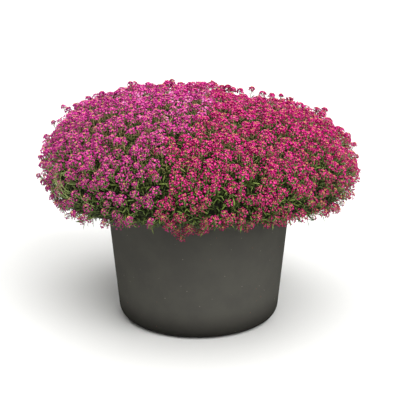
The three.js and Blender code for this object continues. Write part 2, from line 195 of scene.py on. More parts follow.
def wide_lamp(name, towards, strength, softness):
    """A lamp far off in a direction, as wide in the sky as its softness in degrees."""
    data = bpy.data.lights.new(name, "SUN")
    data.energy = strength
    data.angle = math.radians(softness)
    lamp = bpy.data.objects.new(name, data)
    bpy.context.scene.collection.objects.link(lamp)
    lamp.rotation_euler = Vector(towards).to_track_quat("Z", "Y").to_euler()


wide_lamp("key", (0.62, -0.8, 0.56), 2.85, 50)
wide_lamp("top", (0.04, -0.34, 1.0), 3.2, 64)
wide_lamp("fill", (0.1, 0.95, 0.5), 0.7, 44)

world = bpy.data.worlds.new("studio")
world.use_nodes = True
bpy.context.scene.world = world
world.node_tree.nodes["Background"].inputs["Color"].default_value = linear("#FFFFFF")
world.node_tree.nodes["Background"].inputs["Strength"].default_value = WORLD_STRENGTH
bpy.context.scene.view_settings.view_transform = "Standard"

# A round floor whose rim curves up like a studio's white sweep, so that no edge shows from any side
FLOOR_RADIUS = 8
FLOOR_DROP = 0.5 * MM
COVE_STEPS = [(1.12, 0.15), (1.1, 0.4), (1.07, 0.75), (1.03, 1.1), (1.01, 1.6)]

floor = add_shape(
    "floor",
    bpy.ops.mesh.primitive_circle_add,
    vertices=96,
    radius=FLOOR_RADIUS,
    fill_type="NGON",
    location=(0, 0, -FLOOR_DROP),
)
bpy.ops.object.mode_set(mode="EDIT")
bpy.ops.mesh.select_all(action="SELECT")
bpy.ops.mesh.region_to_loop()
for widen, climb in COVE_STEPS:
    bpy.ops.mesh.extrude_region_move(TRANSFORM_OT_translate={"value": (0, 0, climb)})
    bpy.ops.transform.resize(value=(widen, widen, 1))
finish_editing()
bpy.ops.object.shade_smooth_by_angle(angle=math.radians(60))
floor_paint, tree = blank_material("pale studio floor")
finish_surface(tree, {"Base Color": linear("#E6E6E4"), "Roughness": 0.9})
floor.data.materials.append(floor_paint)

# %% [markdown]
# ## The planter
# The real planter is rotomoulded plastic: one tapered shell of even thickness with a soft round foot,
# no separate rim, and a matt skin. It could be spun from a profile, but a cylinder shows the steps
# better: widen its top, round its foot with a bevel, inset the top face and push it down for the
# hollow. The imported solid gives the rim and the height, and its few flat sides are replaced here by
# a round wall.

# %% Planter shape
PLANTER_SIDES = 160
FOOT_RADIUS = 157 * MM
FOOT_EDGE = 30 * MM
FOOT_STEPS = 10
WALL = 5 * MM
FLOOR_THICKNESS = 6 * MM
LIP_RADIUS = 2 * MM
LIP_STEPS = 4
DRAIN_HOLES = 5
DRAIN_RADIUS = 7 * MM
DRAIN_RING = 80 * MM
DRAIN_SIDES = 32

_, planter_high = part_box("planter")
RIM_RADIUS = planter_high.x
PLANTER_HEIGHT = planter_high.z

planter = add_shape(
    "planter_shell",
    bpy.ops.mesh.primitive_cylinder_add,
    vertices=PLANTER_SIDES,
    radius=FOOT_RADIUS,
    depth=PLANTER_HEIGHT,
    location=(0, 0, PLANTER_HEIGHT / 2),
)
apply_place(planter)

# The straight side starts above the rounded foot, so the foot ring is moved in along the same line
slope = (RIM_RADIUS - FOOT_RADIUS) / (PLANTER_HEIGHT - FOOT_EDGE)
foot_ring = FOOT_RADIUS - slope * FOOT_EDGE
select_where(planter, "VERT", lambda vertex: vertex.co.z > PLANTER_HEIGHT / 2)
bpy.ops.transform.resize(value=(RIM_RADIUS / FOOT_RADIUS, RIM_RADIUS / FOOT_RADIUS, 1))
select_where(planter, "VERT", lambda vertex: vertex.co.z < PLANTER_HEIGHT / 2)
bpy.ops.transform.resize(value=(foot_ring / FOOT_RADIUS, foot_ring / FOOT_RADIUS, 1))
bpy.ops.mesh.bevel(offset=FOOT_EDGE, offset_type="WIDTH", segments=FOOT_STEPS, affect="EDGES")
finish_editing()

select_where(planter, "FACE", lambda face: face.normal.z > 0.9 and face.center.z > PLANTER_HEIGHT - MM)
bpy.ops.mesh.inset(thickness=WALL, depth=0)
hollow = PLANTER_HEIGHT - FLOOR_THICKNESS
bpy.ops.mesh.extrude_region_move(TRANSFORM_OT_translate={"value": (0, 0, -hollow)})
inner_foot = (foot_ring - WALL) / (RIM_RADIUS - WALL)
bpy.ops.transform.resize(value=(inner_foot, inner_foot, 1))
finish_editing()

select_where(planter, "VERT", lambda vertex: vertex.co.z > PLANTER_HEIGHT - 0.1 * MM)
bpy.ops.mesh.bevel(offset=LIP_RADIUS, offset_type="OFFSET", segments=LIP_STEPS, affect="EDGES")
finish_editing()

for hole in range(DRAIN_HOLES):
    angle = TAU * hole / DRAIN_HOLES
    drill = add_shape(
        "drill",
        bpy.ops.mesh.primitive_cylinder_add,
        vertices=DRAIN_SIDES,
        radius=DRAIN_RADIUS,
        depth=6 * FLOOR_THICKNESS,
        location=(DRAIN_RING * math.cos(angle), DRAIN_RING * math.sin(angle), 0),
    )
    add_modifier(planter, "BOOLEAN", object=drill, operation="DIFFERENCE", solver="EXACT")
    bpy.data.objects.remove(drill)

select_only(planter)
bpy.ops.object.shade_smooth_by_angle(angle=math.radians(35))
print("planter faces", len(planter.data.polygons))

# %% [markdown]
# ## Moulded plastic
# The skin is matt polyethylene, moulded against sand-blasted steel: a dark warm grey without a
# highlight, on which the light only falls off towards the sides, and a grain of about a millimetre.
# Grey and brick-red grains of regrind show as tiny specks. Real specks are under a millimetre, which
# a picture of this size can't show, so they are drawn about twice as large. The lowest few centimetres
# are painted darker, as painted shade near the floor.

# %% Planter finish
GRAIN_SIZE = 1.2 * MM
GRAIN_DEPTH = 0.15 * MM
FOOT_SHADE_HEIGHT = 64 * MM
SPECK_SPACING = 11 * MM
SPECK_SIZE = 1.5 * MM
SCUFF_SIZE = 60 * MM


def speckled_plastic():
    material, tree = blank_material("rotomoulded polyethylene, dark warm grey")
    place = add_node(tree, "ShaderNodeTexCoord").outputs["Object"]
    cloudy = {"Vector": place, "Scale": 1 / SCUFF_SIZE, "Detail": 4, "Roughness": 0.6}
    scuffs = add_node(tree, "ShaderNodeTexNoise", cloudy).outputs["Fac"]
    colour = passing(tree, scuffs, linear("#464541"), linear("#4A4944"), (0.35, 0.65))
    height = add_node(tree, "ShaderNodeSeparateXYZ", {"Vector": place}).outputs["Z"]
    # Painted shade: the colour darkens towards the planter's foot
    colour = passing(tree, height, colour, linear("#1C1B19"), (FOOT_SHADE_HEIGHT, 0), 0.9)

    # Each cell of the pattern has one speck at most: its own random colour says which kind, if any
    cells = add_node(tree, "ShaderNodeTexVoronoi", {"Vector": place, "Scale": 1 / SPECK_SPACING})
    kind = add_node(tree, "ShaderNodeSeparateColor", {"Color": cells.outputs["Color"]})
    speck_colour = passing(tree, kind.outputs["Red"], linear("#8F887C"), linear("#8A5142"), (0.5, 0.52))
    chosen = {"Value": kind.outputs["Green"], "From Min": 0.15, "From Max": 0.2}
    present = add_node(tree, "ShaderNodeMapRange", chosen, interpolation_type="SMOOTHSTEP")
    size = SPECK_SIZE / SPECK_SPACING / 2
    inside = (size, 0.6 * size)
    colour = passing(
        tree, cells.outputs["Distance"], colour, speck_colour, inside, present.outputs["Result"]
    )

    wear = {"Value": scuffs, "From Min": 0.3, "From Max": 0.7, "To Min": 0.72, "To Max": 0.84}
    roughness = add_node(tree, "ShaderNodeMapRange", wear, interpolation_type="SMOOTHSTEP")
    grain = add_node(tree, "ShaderNodeTexNoise", {"Vector": place, "Scale": 1 / GRAIN_SIZE, "Detail": 2})
    relief = {"Strength": 0.25, "Distance": GRAIN_DEPTH, "Height": grain.outputs["Fac"]}
    bump = add_node(tree, "ShaderNodeBump", relief)
    finish_surface(
        tree,
        {
            "Base Color": colour,
            "Roughness": roughness.outputs["Result"],
            "Specular IOR Level": 0,
            "Normal": bump.outputs["Normal"],
        },
    )
    return material


planter.data.materials.append(speckled_plastic())
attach(planter, "root")
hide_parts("planter")
print("planter material", planter.data.materials[0].name)

# %% [markdown]
# ## The soil
# Potting soil fills the planter to two centimetres under its rim. It is crumbly peat and bark, so a
# plain disc would look like a lid. A many-sided cylinder is inset into rings, and a cloud-shaped
# displacement then lifts its top into crumbs.

# %% Soil shape
_, soil_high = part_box("soil")
SOIL_TOP = soil_high.z
SOIL_RADIUS = soil_high.x - MM
SOIL_DEPTH = 30 * MM
SOIL_SINK = 3 * MM
SOIL_SIDES = 120
SOIL_RINGS = 26
CRUMB = 9 * MM
CRUMB_HEIGHT = 6 * MM

soil = add_shape(
    "soil_bed",
    bpy.ops.mesh.primitive_cylinder_add,
    vertices=SOIL_SIDES,
    radius=SOIL_RADIUS,
    depth=SOIL_DEPTH,
    location=(0, 0, SOIL_TOP - SOIL_SINK - SOIL_DEPTH / 2),
)
apply_place(soil)
select_where(soil, "FACE", lambda face: face.normal.z > 0.9)
for ring in range(SOIL_RINGS):
    bpy.ops.mesh.inset(thickness=SOIL_RADIUS / (SOIL_RINGS + 2), depth=0)
finish_editing()


def is_crumbly(vertex):
    """True on the top, inside its outer edge, which stays as it is along the planter's wall."""
    inside = math.hypot(vertex.co.x, vertex.co.y) < SOIL_RADIUS - 4 * MM
    return inside and vertex.co.z > SOIL_TOP - 5 * MM


crumbly = soil.vertex_groups.new(name="crumbly")
crumbly.add([v.index for v in soil.data.vertices if is_crumbly(v)], 1.0, "REPLACE")
crumbs = bpy.data.textures.new("crumbs", "CLOUDS")
crumbs.noise_scale = CRUMB
add_modifier(
    soil,
    "DISPLACE",
    texture=crumbs,
    strength=CRUMB_HEIGHT,
    mid_level=0.5,
    direction="Z",
    vertex_group="crumbly",
)
print("soil faces", len(soil.data.polygons))

# %% Soil finish
CRUMB_PATTERN = 5 * MM
DAMP_PATTERN = 30 * MM


def damp_soil():
    material, tree = blank_material("damp peat and bark potting soil")
    place = add_node(tree, "ShaderNodeTexCoord").outputs["Object"]
    cells = add_node(tree, "ShaderNodeTexVoronoi", {"Vector": place, "Scale": 1 / CRUMB_PATTERN})
    crumb = cells.outputs["Distance"]
    damp = add_node(tree, "ShaderNodeTexNoise", {"Vector": place, "Scale": 1 / DAMP_PATTERN, "Detail": 5})
    browns = {FACTOR: crumb, FIRST: linear("#2B2018"), SECOND: linear("#4A382A")}
    colour = add_node(tree, "ShaderNodeMix", browns, data_type="RGBA").outputs[MIXED]
    colour = passing(tree, damp.outputs["Fac"], colour, linear("#1A130E"), (0.4, 0.6), 0.6)
    bump = add_node(tree, "ShaderNodeBump", {"Strength": 0.8, "Distance": 1.5 * MM, "Height": crumb})
    finish_surface(tree, {"Base Color": colour, "Roughness": 0.95, "Normal": bump.outputs["Normal"]})
    return material


soil.data.materials.append(damp_soil())
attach(soil, "root")
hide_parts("soil")
print("soil material", soil.data.materials[0].name)

# %% [markdown]
# ## The mound's skin
# All flower heads, shoots and leaves are placed on one skin: the same swollen, leaning outline that
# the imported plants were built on. The points on it come from a golden-angle spiral, the rule by
# which plants themselves space their leaves, so that no two places crowd each other and no rows show.

# %% The mound's outline
WAIST_RADIUS = 281 * MM
WAIST_HEIGHT = 286 * MM
DOME_RISE = 135 * MM
HEM_RADIUS = 220 * MM
HEM_HEIGHT = 239 * MM
FRONT_LIFT = 14 * MM
SIDE_DROOP = 10 * MM
SQUARENESS = 2.5
LEAN = 24 * MM
DENT_X = 112 * MM
DENT_WIDTH = 85 * MM
DENT = 15 * MM
SKIRT_RADIUS = 186 * MM
UNDERSIDE = 244 * MM

# Seen from above, how far the outline swells in three and in five lobes, and draws in at the front
THREE_LOBES = 0.014
FIVE_LOBES = 0.01
FRONT_PINCH = 0.03

up = np.array([0.0, 0.0, 1.0])


def way_at(turn, tilt=math.pi / 2):
    """Unit vectors at turns about Z and at tilts from it, level where no tilt is given."""
    tilt, turn = np.broadcast_arrays(tilt, turn)
    return np.stack([np.sin(tilt) * np.cos(turn), np.sin(tilt) * np.sin(turn), np.cos(tilt)], axis=-1)


def unit(vectors):
    return vectors / np.maximum(np.linalg.norm(vectors, axis=-1, keepdims=True), 1e-9)


def nearness(distance, reach):
    """1 at no distance, and fading to nothing past the reach."""
    return np.exp(-((distance / reach) ** 2))


def outline(dome_steps=240, skirt_steps=80):
    """Radius and height of the skin from the top, over the waist, down to the hem."""
    power = 2 / SQUARENESS
    angle = np.linspace(math.pi / 2, 0, dome_steps)
    dome_radius = WAIST_RADIUS * np.clip(np.cos(angle), 0, 1) ** power
    dome_height = WAIST_HEIGHT + DOME_RISE * np.sin(angle) ** power
    turn = np.linspace(0, math.pi / 2, skirt_steps + 1)[1:]
    skirt_radius = HEM_RADIUS + (WAIST_RADIUS - HEM_RADIUS) * np.clip(np.cos(turn), 0, 1) ** power
    skirt_height = WAIST_HEIGHT - (WAIST_HEIGHT - HEM_HEIGHT) * np.sin(turn) ** power
    return np.concatenate([dome_radius, skirt_radius]), np.concatenate([dome_height, skirt_height])


def on_mound(radius, height, azimuth):
    """Points of a round outline, swollen, leaned and lifted into the plants' uneven shape."""
    rise = np.clip((height - WAIST_HEIGHT) / DOME_RISE, 0, None)
    hang = np.clip((WAIST_HEIGHT - height) / (WAIST_HEIGHT - HEM_HEIGHT), 0, 1)
    outside = np.clip((radius - SKIRT_RADIUS) / (HEM_RADIUS - SKIRT_RADIUS), 0, 1)
    front = hang * outside * np.clip(-np.sin(azimuth), 0, 1) ** 2
    side = hang * outside * np.cos(azimuth) ** 2
    swell = 1 + THREE_LOBES * np.sin(3 * azimuth + 0.9) + FIVE_LOBES * np.sin(5 * azimuth + 2.2)
    swell = swell - FRONT_PINCH * front
    x = radius * swell * np.cos(azimuth) - LEAN * rise ** 1.5
    y = radius * swell * np.sin(azimuth)
    dent = DENT * rise * nearness(x - DENT_X, DENT_WIDTH)
    return np.stack([x, y, height + FRONT_LIFT * front - SIDE_DROOP * side - dent], axis=-1)


def skin_places(share, azimuth):
    """Points and normals at shares of the skin's area, counted from the top, and at azimuths."""
    radius, height = outline()
    length = np.hypot(np.diff(radius), np.diff(height))
    area = np.concatenate([[0], np.cumsum((radius[1:] + radius[:-1]) * length)])
    wanted = share * area[-1]
    slope_radius = np.interp(wanted, area[1:], np.diff(radius) / length)[:, None]
    slope_height = np.interp(wanted, area[1:], np.diff(height) / length)[:, None]
    point = on_mound(np.interp(wanted, area, radius), np.interp(wanted, area, height), azimuth)
    return point, unit(slope_radius * up - slope_height * way_at(azimuth))


random = np.random.default_rng(5)
test_point, _ = skin_places(np.array([0.0, 0.5, 1.0]), np.zeros(3))
print("skin from top to hem", np.round(test_point, 3).tolist())

# %% [markdown]
# ## One floret, one bud and one leaf
# A sweet alyssum flower is about five millimetres across, with four round petals in a cross. A flat
# cone with twelve sides becomes one: its base is the open face, its point is the calyx below, and
# every third rim point is drawn in to part the petals. A bud is a four-sided cone with its base
# pulled down to a second point, and a leaf is a three-sided bar with both ends pulled to a point.
# Each is used thousands of times, so none has more than two dozen faces.

# %% Floret
FLORET_DEPTH = 0.4
PETAL_NOTCH = 0.44
PETAL_DROOP = 0.2
THROAT_DEPTH = 0.05


def take_model(thing):
    """The corners and triangles of a finished model, which is then removed from the scene."""
    mesh = thing.data
    mesh.calc_loop_triangles()
    corners = np.array([v.co for v in mesh.vertices])
    triangles = np.array([t.vertices for t in mesh.loop_triangles])
    bpy.data.objects.remove(thing)
    return corners, triangles


floret = add_shape(
    "floret",
    bpy.ops.mesh.primitive_cone_add,
    vertices=12,
    radius1=0.5,
    depth=FLORET_DEPTH,
    end_fill_type="TRIFAN",
    location=(0, 0, FLORET_DEPTH / 2),
)
apply_place(floret)
select_where(floret, "VERT", lambda vertex: True)
bpy.ops.transform.resize(value=(1, 1, -1))
bpy.ops.mesh.flip_normals()
finish_editing()


def at_rim(vertex):
    return math.hypot(vertex.co.x, vertex.co.y) > 0.1


def at_notch(vertex):
    """True at every third point of the rim, where two petals meet."""
    return at_rim(vertex) and round(math.atan2(vertex.co.y, vertex.co.x) / (TAU / 12)) % 3 == 0


select_where(floret, "VERT", at_notch)
bpy.ops.transform.resize(value=(PETAL_NOTCH, PETAL_NOTCH, 1))
select_where(floret, "VERT", lambda vertex: at_rim(vertex) and not at_notch(vertex))
bpy.ops.transform.translate(value=(0, 0, -PETAL_DROOP / 2))
select_where(floret, "VERT", lambda vertex: not at_rim(vertex) and vertex.co.z > -0.1)
bpy.ops.transform.translate(value=(0, 0, -THROAT_DEPTH))
finish_editing()
floret_corners, floret_triangles = take_model(floret)
floret_middle = np.hypot(floret_corners[:, 0], floret_corners[:, 1]) < 0.1
floret_eye = (floret_middle & (floret_corners[:, 2] > -0.1)).astype(float)
floret_calyx = (floret_middle & (floret_corners[:, 2] < -0.2)).astype(float)
print("floret triangles", len(floret_triangles))

# %% Bud
BUD_RADIUS = 0.42
BUD_HALF = 0.65

bud = add_shape(
    "bud",
    bpy.ops.mesh.primitive_cone_add,
    vertices=4,
    radius1=BUD_RADIUS,
    depth=BUD_HALF,
    end_fill_type="TRIFAN",
    location=(0, 0, BUD_HALF / 2),
)
apply_place(bud)
select_where(bud, "VERT", lambda vertex: not at_rim(vertex) and vertex.co.z < 0.1)
bpy.ops.transform.translate(value=(0, 0, -BUD_HALF))
finish_editing()
bud_corners, bud_triangles = take_model(bud)
print("bud triangles", len(bud_triangles))

# %% Leaf
LEAF_STATIONS = (0.3, 0.68)
LEAF_WIDTH_SHARE = 0.155
LEAF_THICKNESS_SHARE = 0.035
LEAF_BOW = 0.12

# The width of a triangle whose corners are half a unit from its middle
BAR_WIDTH = 0.87

low, high = LEAF_STATIONS
leaf = add_shape(
    "leaf",
    bpy.ops.mesh.primitive_cylinder_add,
    vertices=3,
    radius=0.5,
    depth=high - low,
    end_fill_type="NGON",
    location=(0, 0, (low + high) / 2),
)
apply_place(leaf)
select_where(leaf, "VERT", lambda vertex: True)
flatten = (LEAF_WIDTH_SHARE / BAR_WIDTH, LEAF_THICKNESS_SHARE, 1)
bpy.ops.transform.resize(value=flatten, center_override=(0, 0, 0))
finish_editing()
for station, tip, side in ((high, 1, 1), (low, 0, -1)):
    select_where(leaf, "FACE", lambda face: face.normal.z * side > 0.9)
    bpy.ops.mesh.extrude_region_move(TRANSFORM_OT_translate={"value": (0, 0, tip - station)})
    bpy.ops.mesh.merge(type="CENTER")
    finish_editing()
select_where(leaf, "VERT", lambda vertex: vertex.co.z > 0.9)
bpy.ops.transform.translate(value=(0, -LEAF_BOW, 0))
finish_editing()
leaf_corners, leaf_triangles = take_model(leaf)
leaf_rib = (leaf_corners[:, 1] > 0.5 * leaf_corners[:, 1].max()).astype(float)
print("leaf triangles", len(leaf_triangles))

# %% [markdown]
# ## Copies with their own place
# Thousands of copies are too many to place one by one, so the corners of a model are multiplied by
# all the copies' frames at once, and each plant's copies become one mesh. Values that differ from
# copy to copy, such as a petal's tint, are kept with the corners as attributes, which the materials
# read later.


# %% Frames and copies
def cross_frames(axis, spin):
    """Frames (N, 3, 3) with their Z columns along the axes, turned about them by the spins."""
    z = unit(axis)
    helper = np.where(np.abs(z[..., 2:3]) < 0.9, [[0.0, 0.0, 1.0]], [[1.0, 0.0, 0.0]])
    x = unit(np.cross(helper, z))
    y = np.cross(z, x)
    c, s = np.cos(spin)[..., None], np.sin(spin)[..., None]
    return np.stack([c * x + s * y, c * y - s * x, z], axis=-1)


def facing_frames(axis, upper):
    """Frames with Z along the axes and Y as near as possible to the upper side's direction."""
    z = unit(axis)
    x = unit(np.cross(upper, z))
    return np.stack([x, np.cross(z, x), z], axis=-1)


def turned(frames, vectors):
    """Vectors (K, 3), or (N, K, 3), turned into N frames, as (N, K, 3)."""
    return vectors @ frames.transpose(0, 2, 1)


def copies(corners, frames, size, place):
    """Copies (N, V, 3) of a model's corners at N frames, sizes (N) or (N, 3), and places."""
    return turned(frames, corners * size.reshape(len(frames), 1, -1)) + place[:, None]


class Batch:
    """Copies of several models that end up in one mesh, with their attributes."""

    def __init__(self):
        self.corners, self.triangles, self.values, self.count = [], [], {}, 0

    def add(self, corners, triangles, **values):
        number, each, _ = corners.shape
        offsets = (np.arange(number) * each + self.count)[:, None, None]
        self.corners.append(corners.reshape(-1, 3))
        self.triangles.append((triangles[None] + offsets).reshape(-1, 3))
        for key, value in values.items():
            full = np.broadcast_to(value, (number, each)).reshape(-1)
            self.values.setdefault(key, []).append(full)
        self.count += number * each

    def piece(self, name, material):
        corners = np.concatenate(self.corners)
        triangles = np.concatenate(self.triangles)
        mesh = bpy.data.meshes.new(name)
        mesh.vertices.add(len(corners))
        mesh.vertices.foreach_set("co", corners.astype(np.float32).ravel())
        mesh.loops.add(3 * len(triangles))
        mesh.loops.foreach_set("vertex_index", triangles.astype(np.int32).ravel())
        mesh.polygons.add(len(triangles))
        mesh.polygons.foreach_set("loop_start", np.arange(0, 3 * len(triangles), 3, dtype=np.int32))
        mesh.update(calc_edges=True)
        mesh.validate()
        for key, parts in self.values.items():
            attribute = mesh.attributes.new(key, "FLOAT", "POINT")
            attribute.data.foreach_set("value", np.concatenate(parts).astype(np.float32))
        mesh.materials.append(material)
        thing = bpy.data.objects.new(name, mesh)
        bpy.context.scene.collection.objects.link(thing)
        print(name, "triangles", len(triangles))
        return thing


# %% [markdown]
# ## Where the flower heads stand
# Each shoot ends in a small dome of florets about 20 mm wide. The heads sit at slightly different
# heights over the leaves, and a few stand well proud, which gives the mound its ragged edge. Low on
# the mound they grow sideways and turn up to the light, there are fewer of them, and leaves show.
# The magenta plants meet the rose ones along a line that wanders over the front. An even spiral
# would look like a pattern, so some heads are left out: a few everywhere, and more of them low down
# and where the photograph shows a leafy gap. Heads at the mound's edge move to where it shows them.

# %% Sizes and places of the heads
PLANTS = 6
MAGENTA_PLANTS = (3, 4, 5)
HEADS = 1500
HEADS_TO = 0.87
STEEP_CROWDING = 0.13
SUNNY_CROWDING = 0.1
FLOWER_DEPTH = 13 * MM
HEAD_SPREAD = 5.5 * MM
HEAD_WANDER = 3 * MM
TUFTS = 260
TUFT_PULL = 0.08
TUFT_WAVE = 17 * MM
TUFT_RISE = 6.5 * MM
PROUD_SHARE = 0.05
PROUD_RISE = 11 * MM
UNDERSIDE_TUCK = 0.85
HEAD_LIFT = 1.6
HEAD_LIFT_LOST = 0.8
HEAD_UNEVEN = 0.22
HEAD_SIZES = (0.76, 1.2)
HEAD_SIZE_LOST = 0.14
SEAM_MIDDLE = -24 * MM
SEAM_SWING = 50 * MM
SEAM_TURNS_AT = -188 * MM
SEAM_TURN_WIDTH = 60 * MM
SEAM_RAGGED = 7 * MM

# Shares of the heads that are left out, and the even step that chooses which
THINNED_EVERYWHERE = 0.03
THINNED_LOW = 0.58
THINNED_BARE = 0.5
THINNED_GAP = 0.5
THINNING_FROM = 0.5
THINNING_STEP = 0.7549

# Pixels of the photograph where single heads stand out against the background
PROUD_PIXELS = [
    (38, 175), (43, 181), (45, 152), (46, 136), (49, 187), (53, 195), (53, 122), (60, 203), (63, 106),
    (68, 109), (75, 105), (80, 218), (88, 98), (102, 93), (118, 92), (133, 87), (148, 84), (163, 86),
    (173, 83), (181, 84), (190, 85), (200, 84), (212, 83), (222, 87), (233, 89), (240, 90), (252, 88),
    (263, 93), (272, 95), (281, 95), (290, 99), (317, 109), (338, 128), (348, 135), (350, 184), (337, 206),
]

# Pixels where leaves show in gaps between the heads, and how far a gap reaches
GAP_PIXELS = [
    (170, 176), (150, 191), (246, 181), (206, 206), (246, 205), (290, 171), (60, 156), (111, 144),
    (125, 136), (152, 157),
]
GAP_REACH = 9

# Where the plants' crowns stand, which the shoots grow from
CROWN_RING = 92 * MM
CROWN_HEIGHT = 240 * MM

# Where bare stalks show: azimuth and height of the patch's middle, and its reach
BARE_AZIMUTH = math.radians(-145)
BARE_HEIGHT = 318 * MM
BARE_REACH = 32 * MM

# Shoots that trail over the rim: azimuth, radius and height of each head. They are smaller than any on
# the skin and painted darker as painted shade, by a lowness past 1, which is the lowest on the skin
TRAILING_LOW = 1.15
TRAILING = [
    (-1.76, 214, 232), (-1.71, 218, 224), (-1.67, 212, 236), (-1.73, 224, 240), (-1.62, 219, 238),
    (-1.81, 220, 243), (-1.66, 228, 246), (-1.56, 216, 234), (-1.50, 222, 243), (-1.22, 214, 241),
    (-1.17, 218, 236), (-2.15, 222, 243), (-2.08, 226, 248), (-0.98, 224, 244), (-2.45, 228, 247),
    (-0.40, 276, 242), (-0.46, 284, 248), (-0.52, 270, 240), (-0.36, 284, 252), (-0.44, 266, 246),
    (-2.79, 270, 238), (-2.72, 266, 230), (-2.64, 262, 236), (-2.58, 252, 228), (-2.86, 276, 246),
    (-2.68, 250, 240), (-2.50, 246, 236),
]
print("proud heads", len(PROUD_PIXELS), "gaps", len(GAP_PIXELS), "trailing heads", len(TRAILING))


# %% Helpers for the heads' places
def tufts(point):
    """A slow wave over the mound, from -1 to 1, that makes tufts about 50 mm wide."""
    x, y, z = (point / TUFT_WAVE).T
    wave = np.sin(x + 1.3 * np.sin(0.61 * y))
    wave += np.sin(0.9 * y + 1.1 * np.sin(0.7 * z))
    wave += np.sin(1.1 * z + 0.8 * x)
    return wave / 3


def lowness(share):
    """0 down to where the heads begin to thin out, and 1 at the lowest heads."""
    return np.clip((share - THINNING_FROM) / (HEADS_TO - THINNING_FROM), 0, 1)


def plant_of(point):
    """The number from 0 of the plant that a point belongs to: six sectors round a wandering seam."""
    sway = np.tanh((point[:, 1] - SEAM_TURNS_AT) / SEAM_TURN_WIDTH)
    ragged = SEAM_RAGGED * np.sin(point[:, 1] / (9 * MM) + point[:, 2] / (7 * MM))
    seam = SEAM_MIDDLE + SEAM_SWING * sway + ragged
    angle = np.arctan2(point[:, 1], point[:, 0] - seam)
    return np.round(angle / (TAU / PLANTS)).astype(int) % PLANTS


def in_picture(point):
    """Pixels of the photograph's frame at which the camera sees points."""
    away = point - np.array(camera.location)
    right = np.array([1.0, 0.0, 0.0])
    forward = -np.array(back)
    upward = np.cross(right, forward)
    focal = CAMERA_DISTANCE / PIXEL_AT_TARGET
    depth = away @ forward
    across = IMAGE_SIZE / 2 + focal * (away @ right) / depth
    down = IMAGE_SIZE / 2 - focal * (away @ upward) / depth
    return np.stack([across, down], axis=-1)


print("the aim's pixel", in_picture(np.array(aim)).round(1).tolist())

# %% Heads over the mound
index = np.arange(HEADS)
jitter = random.uniform(-0.5, 0.5, (HEADS, 2))
along = (index + 0.5 + jitter[:, 0]) / HEADS
share = HEADS_TO * (along + STEEP_CROWDING * np.sin(TAU * along) / TAU)
turn = index * GOLDEN_ANGLE + jitter[:, 1] / np.sqrt(index + 1)
skin_point, skin_normal = skin_places(share, turn - SUNNY_CROWDING * np.cos(turn))

# Heads wander off the even spiral and gather into tufts, as the branches under them do
tuft_order = np.arange(TUFTS)
tuft_middle, _ = skin_places(HEADS_TO * (tuft_order + 0.5) / TUFTS, tuft_order * GOLDEN_ANGLE)
reach = np.linalg.norm(skin_point[:, None] - tuft_middle[None], axis=-1)
skin_point += TUFT_PULL * (tuft_middle[reach.argmin(axis=1)] - skin_point)
wander = HEAD_WANDER * random.normal(size=(HEADS, 3))
skin_point += wander - skin_normal * (wander * skin_normal).sum(axis=1, keepdims=True)

low_part = lowness(share)
bare_middle = WAIST_RADIUS * way_at(BARE_AZIMUTH) + BARE_HEIGHT * up
bare = nearness(np.linalg.norm(skin_point - bare_middle, axis=1), BARE_REACH)
from_gap = in_picture(skin_point + FLOWER_DEPTH * skin_normal)[:, None] - GAP_PIXELS
gap = nearness(np.linalg.norm(from_gap, axis=-1).min(axis=1), GAP_REACH)
gap *= skin_normal @ np.array(back) > 0
thinned = THINNED_EVERYWHERE + THINNED_LOW * low_part ** 1.3 + THINNED_BARE * bare + THINNED_GAP * gap
stands = index * THINNING_STEP % 1 > thinned

rise = FLOWER_DEPTH + HEAD_SPREAD * random.uniform(-1, 1, HEADS) + TUFT_RISE * tufts(skin_point)
proud = random.random(HEADS) < PROUD_SHARE
rise += proud * PROUD_RISE * random.uniform(0.4, 1, HEADS)
rise *= 1 + UNDERSIDE_TUCK * np.clip(skin_normal[:, 2], -1, 0)

lift = HEAD_LIFT - HEAD_LIFT_LOST * low_part[:, None]
head_axis = unit(skin_normal + lift * up + HEAD_UNEVEN * random.normal(size=(HEADS, 3)))
head_place = skin_point + skin_normal * rise[:, None]
print("heads over the mound", stands.sum(), "of", HEADS)

# %% Heads at the mound's edge and over the rim
# The head nearest to each of the picture's proud ones is moved across the view to where that is,
# and its pixel is then put out of reach, so that no other takes it
pixels = in_picture(head_place)
for wanted in PROUD_PIXELS:
    nearest = np.argmin(np.linalg.norm(pixels - wanted, axis=1))
    across, down = (wanted - pixels[nearest]) * PIXEL_AT_TARGET
    head_place[nearest] += [across, -down * back.z, down * back.y]
    pixels[nearest] = -IMAGE_SIZE
    stands[nearest] = True
    proud[nearest] = True

trail_turn, trail_radius, trail_height = np.array(TRAILING).T
trail_out = way_at(trail_turn)
trail_place = MM * (trail_radius[:, None] * trail_out + trail_height[:, None] * up)
head_place = np.concatenate([head_place[stands], trail_place])
head_axis = np.concatenate([head_axis[stands], unit(trail_out + 0.25 * up)])
head_normal = np.concatenate([skin_normal[stands], unit(trail_out - 0.8 * up)])
head_low = np.concatenate([low_part[stands], np.full(len(TRAILING), TRAILING_LOW)])
head_proud = np.concatenate([proud[stands], np.zeros(len(TRAILING), bool)])
head_share = np.concatenate([share[stands], np.ones(len(TRAILING))])
HEAD_COUNT = len(head_place)
head_size = random.uniform(*HEAD_SIZES, HEAD_COUNT) * (1 - HEAD_SIZE_LOST * head_low)
head_plant = plant_of(head_place + random.normal(size=(HEAD_COUNT, 3)) * [9 * MM, 0, 0])
print("heads", HEAD_COUNT, "by plant", np.bincount(head_plant, minlength=PLANTS).tolist())

# %% [markdown]
# ## Florets and buds on each head
# A head is a raceme: its stem goes on growing, new buds open at its tip, and the oldest florets are
# the lowest ones. So its outline is a round top over a drawn-out lower half. The florets are spaced
# round it by the golden angle again, closest at the top, and each one faces away from the stem.

